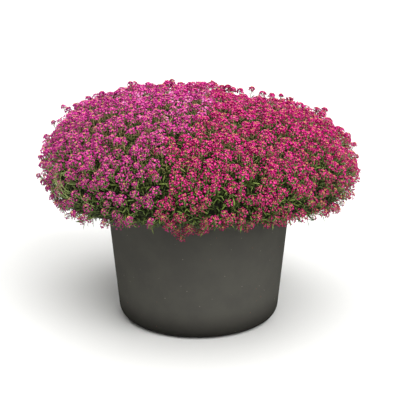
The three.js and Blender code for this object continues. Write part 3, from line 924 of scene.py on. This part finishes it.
# %% Sizes of the florets and buds
FLORETS = 20
CROWDED_TO = 0.3
CROWDED_FLORETS = 16
BUDS = 6
HEAD_RADIUS = 8.2 * MM
TOP_ROUNDNESS = 0.85
LOWER_STRETCH = 1.6
HEAD_SINK = 4 * MM
FLORET_WIDTH = 5.3 * MM
BUD_WIDTH = 1.65 * MM
BUD_TILT = math.radians(14)
BUD_RISE = 0.8 * MM
FIRST_POLAR = math.radians(17)
LAST_POLAR = math.radians(118)

# How uneven the florets of a head are, and how far from its stem they sit, as shares of its radius
POLAR_UNEVEN = 0.12
TURN_UNEVEN = 0.2
FACING_UNEVEN = 0.55
LOOSENESS = (0.72, 1.16)
PROUD_LOOSENESS = (0.4, 0.75)

# How far the florets turn up from facing outwards, and how much more where heads crowd
UPTURN = 0.35
CROWDED_UPTURN = 0.45

# Florets are narrower on magenta plants and down the mound, and wider on proud heads
MAGENTA_NARROWER = 0.03
NARROWER_DOWN = 0.15
PROUD_WIDER = 0.1

# A tint of 0 is the deepest colour: as painted shade it is lowered down the mound, low down
# and on proud heads
HEAD_TINT_SHARE = 0.42
PAINTED_SHADE_DOWN = 0.32
PAINTED_SHADE_LOW = 0.5
PAINTED_SHADE_PROUD = 0.3


def on_head(turn, polar):
    """Points on a head's outline, at turns round its stem and angles from its tip."""
    point = way_at(turn, polar)
    point[..., 2] *= np.where(point[..., 2] > 0, TOP_ROUNDNESS, LOWER_STRETCH)
    return HEAD_RADIUS * point - HEAD_SINK * up


print("head's foot", on_head(0.0, LAST_POLAR).round(4).tolist())

# %% Florets on every head
floret_share = (np.arange(FLORETS) + 0.5) / FLORETS
floret_spots = (HEAD_COUNT, FLORETS)
head_frames = cross_frames(head_axis, random.uniform(0, TAU, HEAD_COUNT))
polar = FIRST_POLAR + (LAST_POLAR - FIRST_POLAR) * floret_share ** 0.9
polar = polar + POLAR_UNEVEN * random.normal(size=floret_spots)
turn = np.arange(FLORETS) * GOLDEN_ANGLE + TURN_UNEVEN * random.normal(size=floret_spots)
looseness = random.uniform(*LOOSENESS, (*floret_spots, 1))
looseness *= np.where(head_proud[:, None, None], random.uniform(*PROUD_LOOSENESS, looseness.shape), 1)
local = on_head(turn, polar) * looseness * head_size[:, None, None]
upturn = UPTURN + CROWDED_UPTURN * (head_share[:, None, None] < CROWDED_TO)
facing = unit(way_at(turn, polar) + upturn * up + FACING_UNEVEN * random.normal(size=local.shape))
floret_place = turned(head_frames, local) + head_place[:, None]
floret_axis = turned(head_frames, facing)
floret_width = FLORET_WIDTH * random.uniform(0.82, 1.12, floret_spots) * head_size[:, None]
floret_width *= 1 - MAGENTA_NARROWER * np.isin(head_plant + 1, MAGENTA_PLANTS)[:, None]
floret_width *= (1 + PROUD_WIDER * head_proud[:, None]) * (1 - NARROWER_DOWN * head_share[:, None])

head_tint = random.random(HEAD_COUNT)[:, None]
floret_tint = HEAD_TINT_SHARE * head_tint + (1 - HEAD_TINT_SHARE) * random.random(floret_spots)
# Painted shade: the tint is lowered down the mound, low down and on proud heads
painted_shade = (1 - PAINTED_SHADE_DOWN * head_share) * (1 - PAINTED_SHADE_LOW * head_low)
floret_tint *= (painted_shade * (1 - PAINTED_SHADE_PROUD * head_proud))[:, None]

# Where heads crowd on top of the mound, their lowest florets would never be seen
crowded = (head_share < CROWDED_TO) & ~head_proud
grown = np.where(crowded, CROWDED_FLORETS, FLORETS)
floret_grown = np.arange(FLORETS) < grown[:, None]
print("florets", floret_grown.sum())

# %% Buds at every head's tip
bud_turn = np.arange(BUDS) * TAU / BUDS + random.uniform(0, TAU, (HEAD_COUNT, 1))
bud_tilt = BUD_TILT * (np.arange(BUDS) > 0)
bud_local = (on_head(bud_turn, bud_tilt) + BUD_RISE * up) * head_size[:, None, None]
bud_place = turned(head_frames, bud_local) + head_place[:, None]
bud_axis = turned(head_frames, way_at(bud_turn, bud_tilt))
print("buds", HEAD_COUNT * BUDS)

# %% [markdown]
# ## Petals
# The petals are thin and slightly velvety, with next to no gloss. Each floret's throat is paler, and
# its colour wavers from floret to floret as flowers age: young ones are deep, old ones are faded.
# The buds in the middle are salmon to yellow-green. Plant 3, at the back left, is a rosier magenta
# than its neighbours, as the hue along the top of the photograph's mound suggests.


# %% Petal finish
def petal_material(name, deep, bright, faded, bud_colour):
    material, tree = blank_material(name)
    tint, eye, calyx, is_bud = (
        add_node(tree, "ShaderNodeAttribute", attribute_name=key).outputs["Fac"]
        for key in ("tint", "eye", "calyx", "bud")
    )
    colour = passing(tree, tint, linear(deep), linear(bright), (0.1, 0.7))
    colour = passing(tree, tint, colour, linear(faded), (0.74, 0.95), 0.75)
    colour = passing(tree, eye, colour, linear("#ECBCA4"), (0.5, 1), 0.7)
    colour = passing(tree, calyx, colour, linear("#7A5C46"), (0.02, 0.6), 0.95)
    bud_colours = {FACTOR: tint, FIRST: linear(bud_colour), SECOND: linear("#D8BC6E")}
    buds = add_node(tree, "ShaderNodeMix", bud_colours, data_type="RGBA").outputs[MIXED]
    petals_or_buds = {FACTOR: is_bud, FIRST: colour, SECOND: buds}
    colour = add_node(tree, "ShaderNodeMix", petals_or_buds, data_type="RGBA").outputs[MIXED]
    finish_surface(tree, {"Base Color": colour, "Roughness": 0.75, "Specular IOR Level": 0.07})
    return material


magenta_petals = petal_material("magenta petals", "#A01C72", "#DC3AA2", "#EEA6D8", "#E89E80")
rosier_petals = petal_material("rosy magenta petals", "#9E1262", "#D92A94", "#EE9AD0", "#E89878")
rose_petals = petal_material("deep rose petals", "#9C0A54", "#D41484", "#E47CB8", "#E6946E")

plant_petals = [rose_petals, rose_petals, rosier_petals, magenta_petals, magenta_petals, rose_petals]
print("petals by plant", [material.name for material in plant_petals])

# %% Flowers of each plant
for plant in range(PLANTS):
    mine = head_plant == plant
    florets = mine[:, None] & floret_grown
    batch = Batch()
    frames = cross_frames(floret_axis[florets], random.uniform(0, TAU, florets.sum()))
    batch.add(
        copies(floret_corners, frames, floret_width[florets], floret_place[florets]),
        floret_triangles,
        tint=floret_tint[florets][:, None],
        eye=floret_eye,
        calyx=floret_calyx,
        bud=0.0,
    )
    place = bud_place[mine].reshape(-1, 3)
    frames = cross_frames(bud_axis[mine].reshape(-1, 3), random.uniform(0, TAU, len(place)))
    size = BUD_WIDTH * random.uniform(0.8, 1.2, len(place))
    batch.add(
        copies(bud_corners, frames, size, place),
        bud_triangles,
        tint=random.random((len(place), 1)),
        eye=0.0,
        calyx=0.0,
        bud=1.0,
    )
    piece = batch.piece(f"plant_{plant + 1}_flowers", plant_petals[plant])
    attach(piece, "root")
    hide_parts(f"plant_{plant + 1}_blossom")

# %% [markdown]
# ## Stalks and pods
# Each floret sits on a thread-like stalk that rises from the head's stem. Where the oldest florets
# have dropped, below the head, their stalks carry small green seed pods. The stem then bends down
# into the mound. A thread is a long three-sided point: four faces are enough for something less
# than a millimetre thick. The stems bend, so each is made of a few straight lengths. Their greens,
# and the leaves' too, flush brownish pink towards the sunny top of the mound.

# %% Sizes and models of the stalks
OUTER_FLORETS = 13
STALK_WIDTH = 0.75 * MM
STALK_CLIMB = 5 * MM
STEM_START = 1.5 * MM
STEM_LENGTH = 19 * MM
STEM_LENGTH_LOST = 8 * MM
SHOOT_WIDTH = 1.4 * MM
SHOOT_DEPTH = 42 * MM
SHOOT_STEPS = 2
PODS = 3
POD_REACH = 5.5 * MM
POD_RISE = 0.5
POD_WIDTH = 2.4 * MM

# A needle is a triangle and a point, and a length is a triangle at either end
triangle = np.array([[0.5, 0, 0], [-0.25, 0.43, 0], [-0.25, -0.43, 0]])
needle_corners = np.concatenate([triangle, [up]])
needle_triangles = np.array([[0, 2, 1], [0, 1, 3], [1, 2, 3], [2, 0, 3]])
length_corners = np.concatenate([triangle, triangle + up])
length_triangles = np.array(
    [[0, 2, 1], [0, 1, 4], [0, 4, 3], [1, 2, 5], [1, 5, 4], [2, 0, 3], [2, 3, 5], [3, 4, 5]]
)


def straight(corners, start, end, width):
    """Copies of a thin model, each from a start to an end, at a width."""
    along = end - start
    reach = np.linalg.norm(along, axis=-1)
    width = np.broadcast_to(width, reach.shape)
    size = np.stack([width, width, reach], axis=-1)
    return copies(corners, cross_frames(along, np.zeros(len(start))), size, start)


def bent(start, middle, end, t):
    """Points at shares t of curves from N starts to their ends, each drawn towards its middle."""
    t = t[..., None]
    return (1 - t) ** 2 * start[:, None] + 2 * t * (1 - t) * middle[:, None] + t ** 2 * end[:, None]


print("needle triangles", len(needle_triangles), "length triangles", len(length_triangles))

# %% Stems, shoots, floret stalks and pods
stem_length = (STEM_LENGTH - STEM_LENGTH_LOST * head_low) * head_size
stem_top = head_place - head_axis * STEM_START
stem_foot = head_place - head_axis * stem_length[:, None]
crown_place = CROWN_RING * way_at(head_plant * TAU / PLANTS) + CROWN_HEIGHT * up
inward = unit(crown_place - stem_foot)
shoot_bend = stem_foot - unit(head_axis + head_normal) * 0.4 * SHOOT_DEPTH
shoot_foot = stem_foot - head_normal * 0.7 * SHOOT_DEPTH + inward * 0.4 * SHOOT_DEPTH
shoot_points = bent(stem_foot, shoot_bend, shoot_foot, np.linspace(0, 1, SHOOT_STEPS + 1))

# A floret's stalk leaves the stem a little below the floret, and never below the stem's foot
stalk_root_depth = np.clip(STALK_CLIMB - local[..., 2], 0, stem_length[:, None])
stalk_root = head_place[:, None] - head_axis[:, None] * stalk_root_depth[..., None]
stalk_end = floret_place - floret_axis * (0.3 * floret_width)[..., None]

pod_turn = np.arange(PODS) * GOLDEN_ANGLE + random.uniform(0, TAU, (HEAD_COUNT, 1))
pod_way = unit(turned(head_frames, way_at(pod_turn) + POD_RISE * up))
pod_depth = np.linspace(0.62, 0.98, PODS) * stem_length[:, None]
pod_root = head_place[:, None] - head_axis[:, None] * pod_depth[..., None]
pod_place = pod_root + pod_way * POD_REACH * random.uniform(0.75, 1.15, (HEAD_COUNT, PODS, 1))
print("mean stem", round(float(stem_length.mean()), 4), "pods", (~crowded).sum() * PODS)


# %% Stalk finish
def flushed(tree, colour, most):
    """A green that turns brownish pink towards the top of the mound, up to a share of it."""
    place = add_node(tree, "ShaderNodeTexCoord").outputs["Object"]
    height = add_node(tree, "ShaderNodeSeparateXYZ", {"Vector": place}).outputs["Z"]
    sunny = (WAIST_HEIGHT + 0.25 * DOME_RISE, WAIST_HEIGHT + DOME_RISE)
    return passing(tree, height, colour, linear("#AA7866"), sunny, most)


def stalk_material():
    material, tree = blank_material("pale green stalks")
    tint = add_node(tree, "ShaderNodeAttribute", attribute_name="tint").outputs["Fac"]
    greens = {FACTOR: tint, FIRST: linear("#4A6424"), SECOND: linear("#9CAE66")}
    colour = add_node(tree, "ShaderNodeMix", greens, data_type="RGBA").outputs[MIXED]
    colour = flushed(tree, colour, 0.55)
    finish_surface(tree, {"Base Color": colour, "Roughness": 0.55, "Specular IOR Level": 0.35})
    return material


stalk_finish = stalk_material()
print("stalk material", stalk_finish.name)

# %% Stalks of each plant
for plant in range(PLANTS):
    mine = head_plant == plant
    batch = Batch()
    outer = mine[:, None] & floret_grown & (np.arange(FLORETS) >= FLORETS - OUTER_FLORETS)
    podded = mine & ~crowded
    pods = pod_place[podded].reshape(-1, 3)
    ends = np.concatenate([stalk_end[outer], pods])
    roots = np.concatenate([stalk_root[outer], pod_root[podded].reshape(-1, 3)])
    batch.add(
        straight(needle_corners, ends, roots, STALK_WIDTH),
        needle_triangles,
        tint=random.uniform(0.4, 1, (len(ends), 1)),
    )
    frames = cross_frames(pod_way[podded].reshape(-1, 3), random.uniform(0, TAU, len(pods)))
    batch.add(
        copies(bud_corners, frames, POD_WIDTH * random.uniform(0.75, 1.1, len(pods)), pods),
        bud_triangles,
        tint=random.uniform(0.3, 1, (len(pods), 1)),
    )
    batch.add(
        straight(length_corners, stem_top[mine], stem_foot[mine], SHOOT_WIDTH),
        length_triangles,
        tint=random.uniform(0.5, 1, (mine.sum(), 1)),
    )
    for step in range(SHOOT_STEPS):
        start, end = shoot_points[mine, step], shoot_points[mine, step + 1]
        batch.add(
            straight(length_corners, start, end, SHOOT_WIDTH * (1 + 0.2 * step)),
            length_triangles,
            tint=random.uniform(0.2, 0.8, (len(start), 1)) * (1 - 0.2 * step),
        )
    piece = batch.piece(f"plant_{plant + 1}_stalks", stalk_finish)
    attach(piece, "root")

# %% [markdown]
# ## Leaves
# Narrow grey-green leaves, 10 to 20 mm long, sit all round each shoot and point up and outwards.
# Those near the top are large and light, and those further down are shorter and in shade. More of
# them, on bare shoots between the flowering ones, close the gaps, and short shoots spill over the
# planter's rim.

# %% Leaves on the flowering shoots
LEAVES_PER_SHOOT = 5
LEAF_LENGTH = 15 * MM
LEAF_NEXT = 0.05
LOW_SHADE = 0.35


def leaves_at(point, outward, along, shade, batch):
    """Leaves rooted at points, growing outwards and along their shoot, with a shade from 0 to 1."""
    way = unit(outward + 0.9 * along + 0.2 * random.normal(size=point.shape))
    frames = facing_frames(way, along + 0.01)
    length = LEAF_LENGTH * random.uniform(0.75, 1.3, len(point)) * (0.75 + 0.35 * (1 - shade))
    batch.add(
        copies(leaf_corners, frames, length, point),
        leaf_triangles,
        tint=random.random((len(point), 1)),
        shade=shade[:, None],
        rib=leaf_rib,
    )


def along_shoot(t):
    """Points at shares t of the shoots, from the head down into the mound."""
    return bent(stem_foot, shoot_bend, shoot_foot, t)


leaf_spots = (HEAD_COUNT, LEAVES_PER_SHOOT)
leaf_t = np.linspace(0.07, 0.9, LEAVES_PER_SHOOT) + random.uniform(-0.06, 0.06, leaf_spots)
leaf_root = along_shoot(leaf_t)
leaf_along = unit(along_shoot(leaf_t - LEAF_NEXT) - along_shoot(leaf_t + LEAF_NEXT))
leaf_turn = np.arange(LEAVES_PER_SHOOT) * GOLDEN_ANGLE + random.uniform(0, TAU, (HEAD_COUNT, 1))
side_frames = cross_frames(leaf_along.reshape(-1, 3), leaf_turn.reshape(-1))
leaf_outward = side_frames[:, :, 0].reshape(*leaf_spots, 3)
print("leaves on flowering shoots", HEAD_COUNT * LEAVES_PER_SHOOT)

# %% Leafy shoots between them
FILLER_SHOOTS = 1180
FILLER_LEAVES = 7
FILLERS_TO = 0.96
FILLER_LENGTH = 12 * MM
FILLER_SPREAD = (-8 * MM, 7 * MM)
FILLER_LOW_RISE = 6 * MM
FILLER_TUCK = 8 * MM

filler_order = np.arange(FILLER_SHOOTS)
filler_share = FILLERS_TO * ((filler_order + random.random(FILLER_SHOOTS)) / FILLER_SHOOTS) ** 0.6
filler_point, filler_normal = skin_places(filler_share, filler_order * GOLDEN_ANGLE)
filler_low = lowness(filler_share)
filler_upturn = 0.35 + 0.35 * filler_low[:, None]
filler_way = unit(
    filler_normal + filler_upturn * up + 0.3 * random.normal(size=(FILLER_SHOOTS, 3))
)

# On the mound's underside they are tucked in, so that no leaf hangs loose below the hem
filler_rise = random.uniform(*FILLER_SPREAD, FILLER_SHOOTS) + FILLER_LOW_RISE * filler_low
filler_under = np.clip(-filler_normal[:, 2], 0, 1)
filler_rise *= 1 - UNDERSIDE_TUCK * filler_under
filler_rise -= FILLER_TUCK * filler_under
filler_tip = filler_point + filler_normal * filler_rise[:, None]
filler_frames = cross_frames(filler_way, random.uniform(0, TAU, FILLER_SHOOTS))
filler_side = turned(filler_frames, way_at(np.arange(FILLER_LEAVES) * GOLDEN_ANGLE))
filler_down = np.linspace(0, FILLER_LENGTH, FILLER_LEAVES)[None, :, None]
filler_root = filler_tip[:, None] - filler_way[:, None] * filler_down
filler_shade = np.linspace(0, 0.4, FILLER_LEAVES) + LOW_SHADE * filler_low[:, None]
filler_plant = plant_of(filler_tip)
print("leafy shoots by plant", np.bincount(filler_plant, minlength=PLANTS).tolist())

# %% Short shoots over the rim
RIM_SHOOTS = 190
RIM_LEAVES = 6
RIM_OVERHANG = (RIM_RADIUS + 2 * MM, RIM_RADIUS + 30 * MM)
RIM_LEVEL = (UNDERSIDE, UNDERSIDE + 7 * MM)

rim_turn = (np.arange(RIM_SHOOTS) + random.uniform(-0.4, 0.4, RIM_SHOOTS)) * TAU / RIM_SHOOTS
rim_out = way_at(rim_turn)
rim_way = rim_out - random.uniform(-0.1, 0.25, (RIM_SHOOTS, 1)) * up
rim_way = unit(rim_way + 0.2 * random.normal(size=(RIM_SHOOTS, 3)))
rim_root = rim_out * random.uniform(*RIM_OVERHANG, (RIM_SHOOTS, 1))
rim_root = rim_root + random.uniform(*RIM_LEVEL, (RIM_SHOOTS, 1)) * up
rim_frames = cross_frames(rim_way, random.uniform(0, TAU, RIM_SHOOTS))
rim_side = turned(rim_frames, way_at(np.arange(RIM_LEAVES) * GOLDEN_ANGLE))
rim_plant = plant_of(rim_root)
print("rim shoots by plant", np.bincount(rim_plant, minlength=PLANTS).tolist())

# %% Leaf finish
MOTTLE_SIZE = 8 * MM


def leaf_material():
    material, tree = blank_material("grey-green leaves")
    place = add_node(tree, "ShaderNodeTexCoord").outputs["Object"]
    tint, shade, rib = (
        add_node(tree, "ShaderNodeAttribute", attribute_name=key).outputs["Fac"]
        for key in ("tint", "shade", "rib")
    )
    mottle = add_node(tree, "ShaderNodeTexNoise", {"Vector": place, "Scale": 1 / MOTTLE_SIZE, "Detail": 3})
    greens = {FACTOR: tint, FIRST: linear("#364A12"), SECOND: linear("#6C8634")}
    colour = add_node(tree, "ShaderNodeMix", greens, data_type="RGBA").outputs[MIXED]
    colour = passing(tree, mottle.outputs["Fac"], colour, linear("#80923E"), (0.4, 0.7), 0.3)
    colour = passing(tree, rib, colour, linear("#9EAE5E"), (0.5, 1), 0.35)
    colour = passing(tree, shade, colour, linear("#222A10"), (0.15, 1), 0.9)
    colour = flushed(tree, colour, 0.6)
    finish_surface(tree, {"Base Color": colour, "Roughness": 0.5, "Specular IOR Level": 0.35})
    return material


leaf_finish = leaf_material()
print("leaf material", leaf_finish.name)

# %% Leaves of each plant
for plant in range(PLANTS):
    batch = Batch()
    mine = head_plant == plant
    leaves_at(
        leaf_root[mine].reshape(-1, 3),
        leaf_outward[mine].reshape(-1, 3),
        leaf_along[mine].reshape(-1, 3),
        np.clip(leaf_t[mine] ** 0.8 + LOW_SHADE * head_low[mine, None], 0, 1).reshape(-1),
        batch,
    )
    mine = filler_plant == plant
    number = mine.sum() * FILLER_LEAVES
    leaves_at(
        filler_root[mine].reshape(-1, 3),
        filler_side[mine].reshape(-1, 3),
        np.repeat(filler_way[mine], FILLER_LEAVES, axis=0),
        random.uniform(0, 0.4, number) + filler_shade[mine].reshape(-1),
        batch,
    )
    mine = rim_plant == plant
    number = mine.sum() * RIM_LEAVES
    leaves_at(
        np.repeat(rim_root[mine], RIM_LEAVES, axis=0),
        rim_side[mine].reshape(-1, 3),
        np.repeat(rim_way[mine], RIM_LEAVES, axis=0),
        random.uniform(0.3, 0.9, number),
        batch,
    )
    piece = batch.piece(f"plant_{plant + 1}_leaves", leaf_finish)
    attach(piece, "root")
    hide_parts(f"plant_{plant + 1}_growth")

# %% [markdown]
# ## Bare stalks on the left
# Low on the left the mound has opened up: long shoots have dropped their flowers, and their pale
# bare stalks lie across the mound's flank. Each stalk is a curve of six straight lengths, rooted
# between the flowers, bowing outwards and then bending back under its own weight.

# %% Bare stalks
BARE_STALKS = 22
BARE_STEPS = 6
BARE_WIDTH = 1.5 * MM
BARE_ROOT_OFFSET = -0.13


def skin_at(azimuth, height, lift):
    """Points at azimuths and heights, lifted off the mound's skin."""
    radius, level = outline()
    return on_mound(np.interp(height, level[::-1], radius[::-1]) + lift, height, azimuth)


root_turn = BARE_AZIMUTH + BARE_ROOT_OFFSET + random.normal(0, 0.09, BARE_STALKS)
tip_turn = root_turn + random.uniform(0.04, 0.24, BARE_STALKS)
root_height = BARE_HEIGHT + random.uniform(-30 * MM, 18 * MM, BARE_STALKS)
tip_height = np.maximum(root_height - random.uniform(-14 * MM, 36 * MM, BARE_STALKS), HEM_HEIGHT)
bare_root = skin_at(root_turn, root_height, -2 * MM)
bare_tip = skin_at(tip_turn, tip_height, random.uniform(8 * MM, 16 * MM, BARE_STALKS))
bow_lift = random.uniform(24 * MM, 38 * MM, BARE_STALKS)
bare_bow = skin_at((root_turn + tip_turn) / 2, (root_height + tip_height) / 2, bow_lift) - 3 * MM * up
bare_points = bent(bare_root, bare_bow, bare_tip, np.linspace(0, 1, BARE_STEPS + 1))

batch = Batch()
stalk_tint = random.uniform(0.75, 1, (BARE_STALKS, 1))
for step in range(BARE_STEPS):
    width = BARE_WIDTH * (1 - 0.08 * step) * random.uniform(0.8, 1.1, BARE_STALKS)
    batch.add(
        straight(length_corners, bare_points[:, step], bare_points[:, step + 1], width),
        length_triangles,
        tint=stalk_tint,
    )
bare_stalks = batch.piece("bare_stalks", stalk_finish)
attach(bare_stalks, "root")

# %% [markdown]
# ## Crowns in the soil
# Each plant has one crown in the soil, where its woody stem divides into the branches that carry the
# mound. Stem and branches are the same three-sided lengths as the stalks, only thicker: a loop over
# the plants stands each stem in the soil and fans five branches out from its top. They are seen only
# from very low or through a gap, so they need no more shape than that.

# %% Crown shapes
CROWN_RADIUS = 6 * MM
CROWN_ROOTED = 8 * MM
CROWN_STEM = 34 * MM
CROWN_BRANCHES = 5
BRANCH_REACH = 62 * MM
BRANCH_OVERLAP = 3 * MM

batch = Batch()
for plant in range(PLANTS):
    foot = CROWN_RING * way_at(TAU * plant / PLANTS) + (SOIL_TOP - CROWN_ROOTED) * up
    fork = foot + CROWN_STEM * up
    batch.add(
        straight(length_corners, foot[None], fork[None], 2 * CROWN_RADIUS),
        length_triangles,
        tint=0.5,
    )
    around = TAU * np.arange(CROWN_BRANCHES) / CROWN_BRANCHES + 0.6 * plant
    tips = fork + BRANCH_REACH * unit(0.8 * way_at(around) + 0.75 * up)
    starts = np.broadcast_to(fork - BRANCH_OVERLAP * up, tips.shape)
    batch.add(
        straight(length_corners, starts, tips, 0.9 * CROWN_RADIUS),
        length_triangles,
        tint=0.3,
    )

# %% Crown finish
STREAK_SIZE = 4 * MM


def bark_material():
    material, tree = blank_material("woody crown bark")
    place = add_node(tree, "ShaderNodeTexCoord").outputs["Object"]
    streaky = {"Vector": place, "Scale": 1 / STREAK_SIZE, "Detail": 4}
    streak = add_node(tree, "ShaderNodeTexNoise", streaky).outputs["Fac"]
    browns = {FACTOR: streak, FIRST: linear("#4A3B28"), SECOND: linear("#86704C")}
    colour = add_node(tree, "ShaderNodeMix", browns, data_type="RGBA").outputs[MIXED]
    bump = add_node(tree, "ShaderNodeBump", {"Strength": 0.6, "Distance": 0.4 * MM, "Height": streak})
    finish_surface(tree, {"Base Color": colour, "Roughness": 0.85, "Normal": bump.outputs["Normal"]})
    return material


crowns = batch.piece("plant_crowns", bark_material())
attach(crowns, "root")

# %% [markdown]
# ## The shaded inside
# Inside the mound old stems and leaves make a thicket that no light crosses. It isn't modelled leaf by
# leaf: a rough shell a few millimetres under the mound's skin stops the view, dark as painted shade. A
# sphere is pulled to the mound's own outline, and its underside runs in over the rim and down into the
# planter. A cloud-shaped displacement breaks it up, and narrow flecks, bent this way and that, show on
# it as leaves in the shade. Towards the top of the mound the shell is painted lighter, as painted light.

# %% Thicket shape
THICKET_DEPTH = 5 * MM
THICKET_ROUGHNESS = 12 * MM
CLUMP_SIZE = 30 * MM

# Its underside runs in over the rim, and down inside the planter to just above the soil
MOUTH_RADII = [180 * MM, 165 * MM, 164 * MM, 0.0]
MOUTH_HEIGHTS = [UNDERSIDE, UNDERSIDE - 6 * MM, SOIL_TOP + 8 * MM, SOIL_TOP + 6 * MM]

thicket = add_shape(
    "inner_shade_shell", bpy.ops.mesh.primitive_uv_sphere_add, segments=72, ring_count=48, radius=1
)
corners = np.array([v.co for v in thicket.data.vertices])
polar_share = np.arccos(np.clip(corners[:, 2], -1, 1)) / math.pi
radius, height = outline(80, 30)
shrunk_height = UNDERSIDE + (height - UNDERSIDE) * (1 - THICKET_DEPTH / DOME_RISE)
path_radius = np.concatenate([radius * (1 - THICKET_DEPTH / WAIST_RADIUS), MOUTH_RADII])
path_height = np.concatenate([shrunk_height, MOUTH_HEIGHTS])
path = np.concatenate([[0], np.cumsum(np.hypot(np.diff(path_radius), np.diff(path_height)))])
azimuth = np.arctan2(corners[:, 1], corners[:, 0])
wanted = polar_share * path[-1]
corner_radius = np.interp(wanted, path, path_radius)
shaped = on_mound(corner_radius, np.interp(wanted, path, path_height), azimuth)

# Inside the planter it stays round
in_mouth = shaped[:, 2] < UNDERSIDE - 5 * MM
shaped[in_mouth, :2] = unit(corners[in_mouth, :2]) * corner_radius[in_mouth, None]
thicket.data.vertices.foreach_set("co", shaped.astype(np.float32).ravel())
thicket.data.update()
clumps = bpy.data.textures.new("clumps", "CLOUDS")
clumps.noise_scale = CLUMP_SIZE
outer_skin = thicket.vertex_groups.new(name="outer_skin")
outer_skin.add(np.flatnonzero(shaped[:, 2] > UNDERSIDE + 4 * MM).tolist(), 1.0, "REPLACE")
add_modifier(
    thicket,
    "DISPLACE",
    texture=clumps,
    strength=THICKET_ROUGHNESS,
    mid_level=0.8,
    vertex_group="outer_skin",
)
print("thicket faces", len(thicket.data.polygons))

# %% Thicket finish
FLECK_SIZE = 4 * MM
FLECK_NARROWING = (1, 1, 0.35)
BEND_SIZE = 22 * MM
BEND = (60 * MM, 60 * MM, 60 * MM)


def thicket_shade_material():
    material, tree = blank_material("shaded stems and old leaves")
    place = add_node(tree, "ShaderNodeTexCoord").outputs["Object"]
    noise = add_node(tree, "ShaderNodeTexNoise", {"Vector": place, "Scale": 1 / BEND_SIZE, "Detail": 1})
    shift = {0: noise.outputs["Color"], 1: BEND, 2: place}
    crooked = add_node(tree, "ShaderNodeVectorMath", shift, operation="MULTIPLY_ADD").outputs["Vector"]
    narrow = add_node(tree, "ShaderNodeMapping", {"Vector": crooked, "Scale": FLECK_NARROWING})
    spots = {"Vector": narrow.outputs["Vector"], "Scale": 1 / FLECK_SIZE}
    fleck = add_node(tree, "ShaderNodeTexVoronoi", spots).outputs["Distance"]
    height = add_node(tree, "ShaderNodeSeparateXYZ", {"Vector": place}).outputs["Z"]
    sunny = (WAIST_HEIGHT, WAIST_HEIGHT + DOME_RISE)
    # Painted shade and light: the dark colours stand for shade, and they are painted lighter towards the
    # top
    dark = passing(tree, height, linear("#12130A"), linear("#1E2611"), sunny)
    pale = passing(tree, height, linear("#3A4620"), linear("#66803A"), sunny)
    colour = passing(tree, fleck, pale, dark, (0.25, 0.55))
    finish_surface(tree, {"Base Color": colour, "Roughness": 0.9, "Specular IOR Level": 0.1})
    return material


thicket.data.materials.append(thicket_shade_material())
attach(thicket, "root")
print("thicket material", thicket.data.materials[0].name)
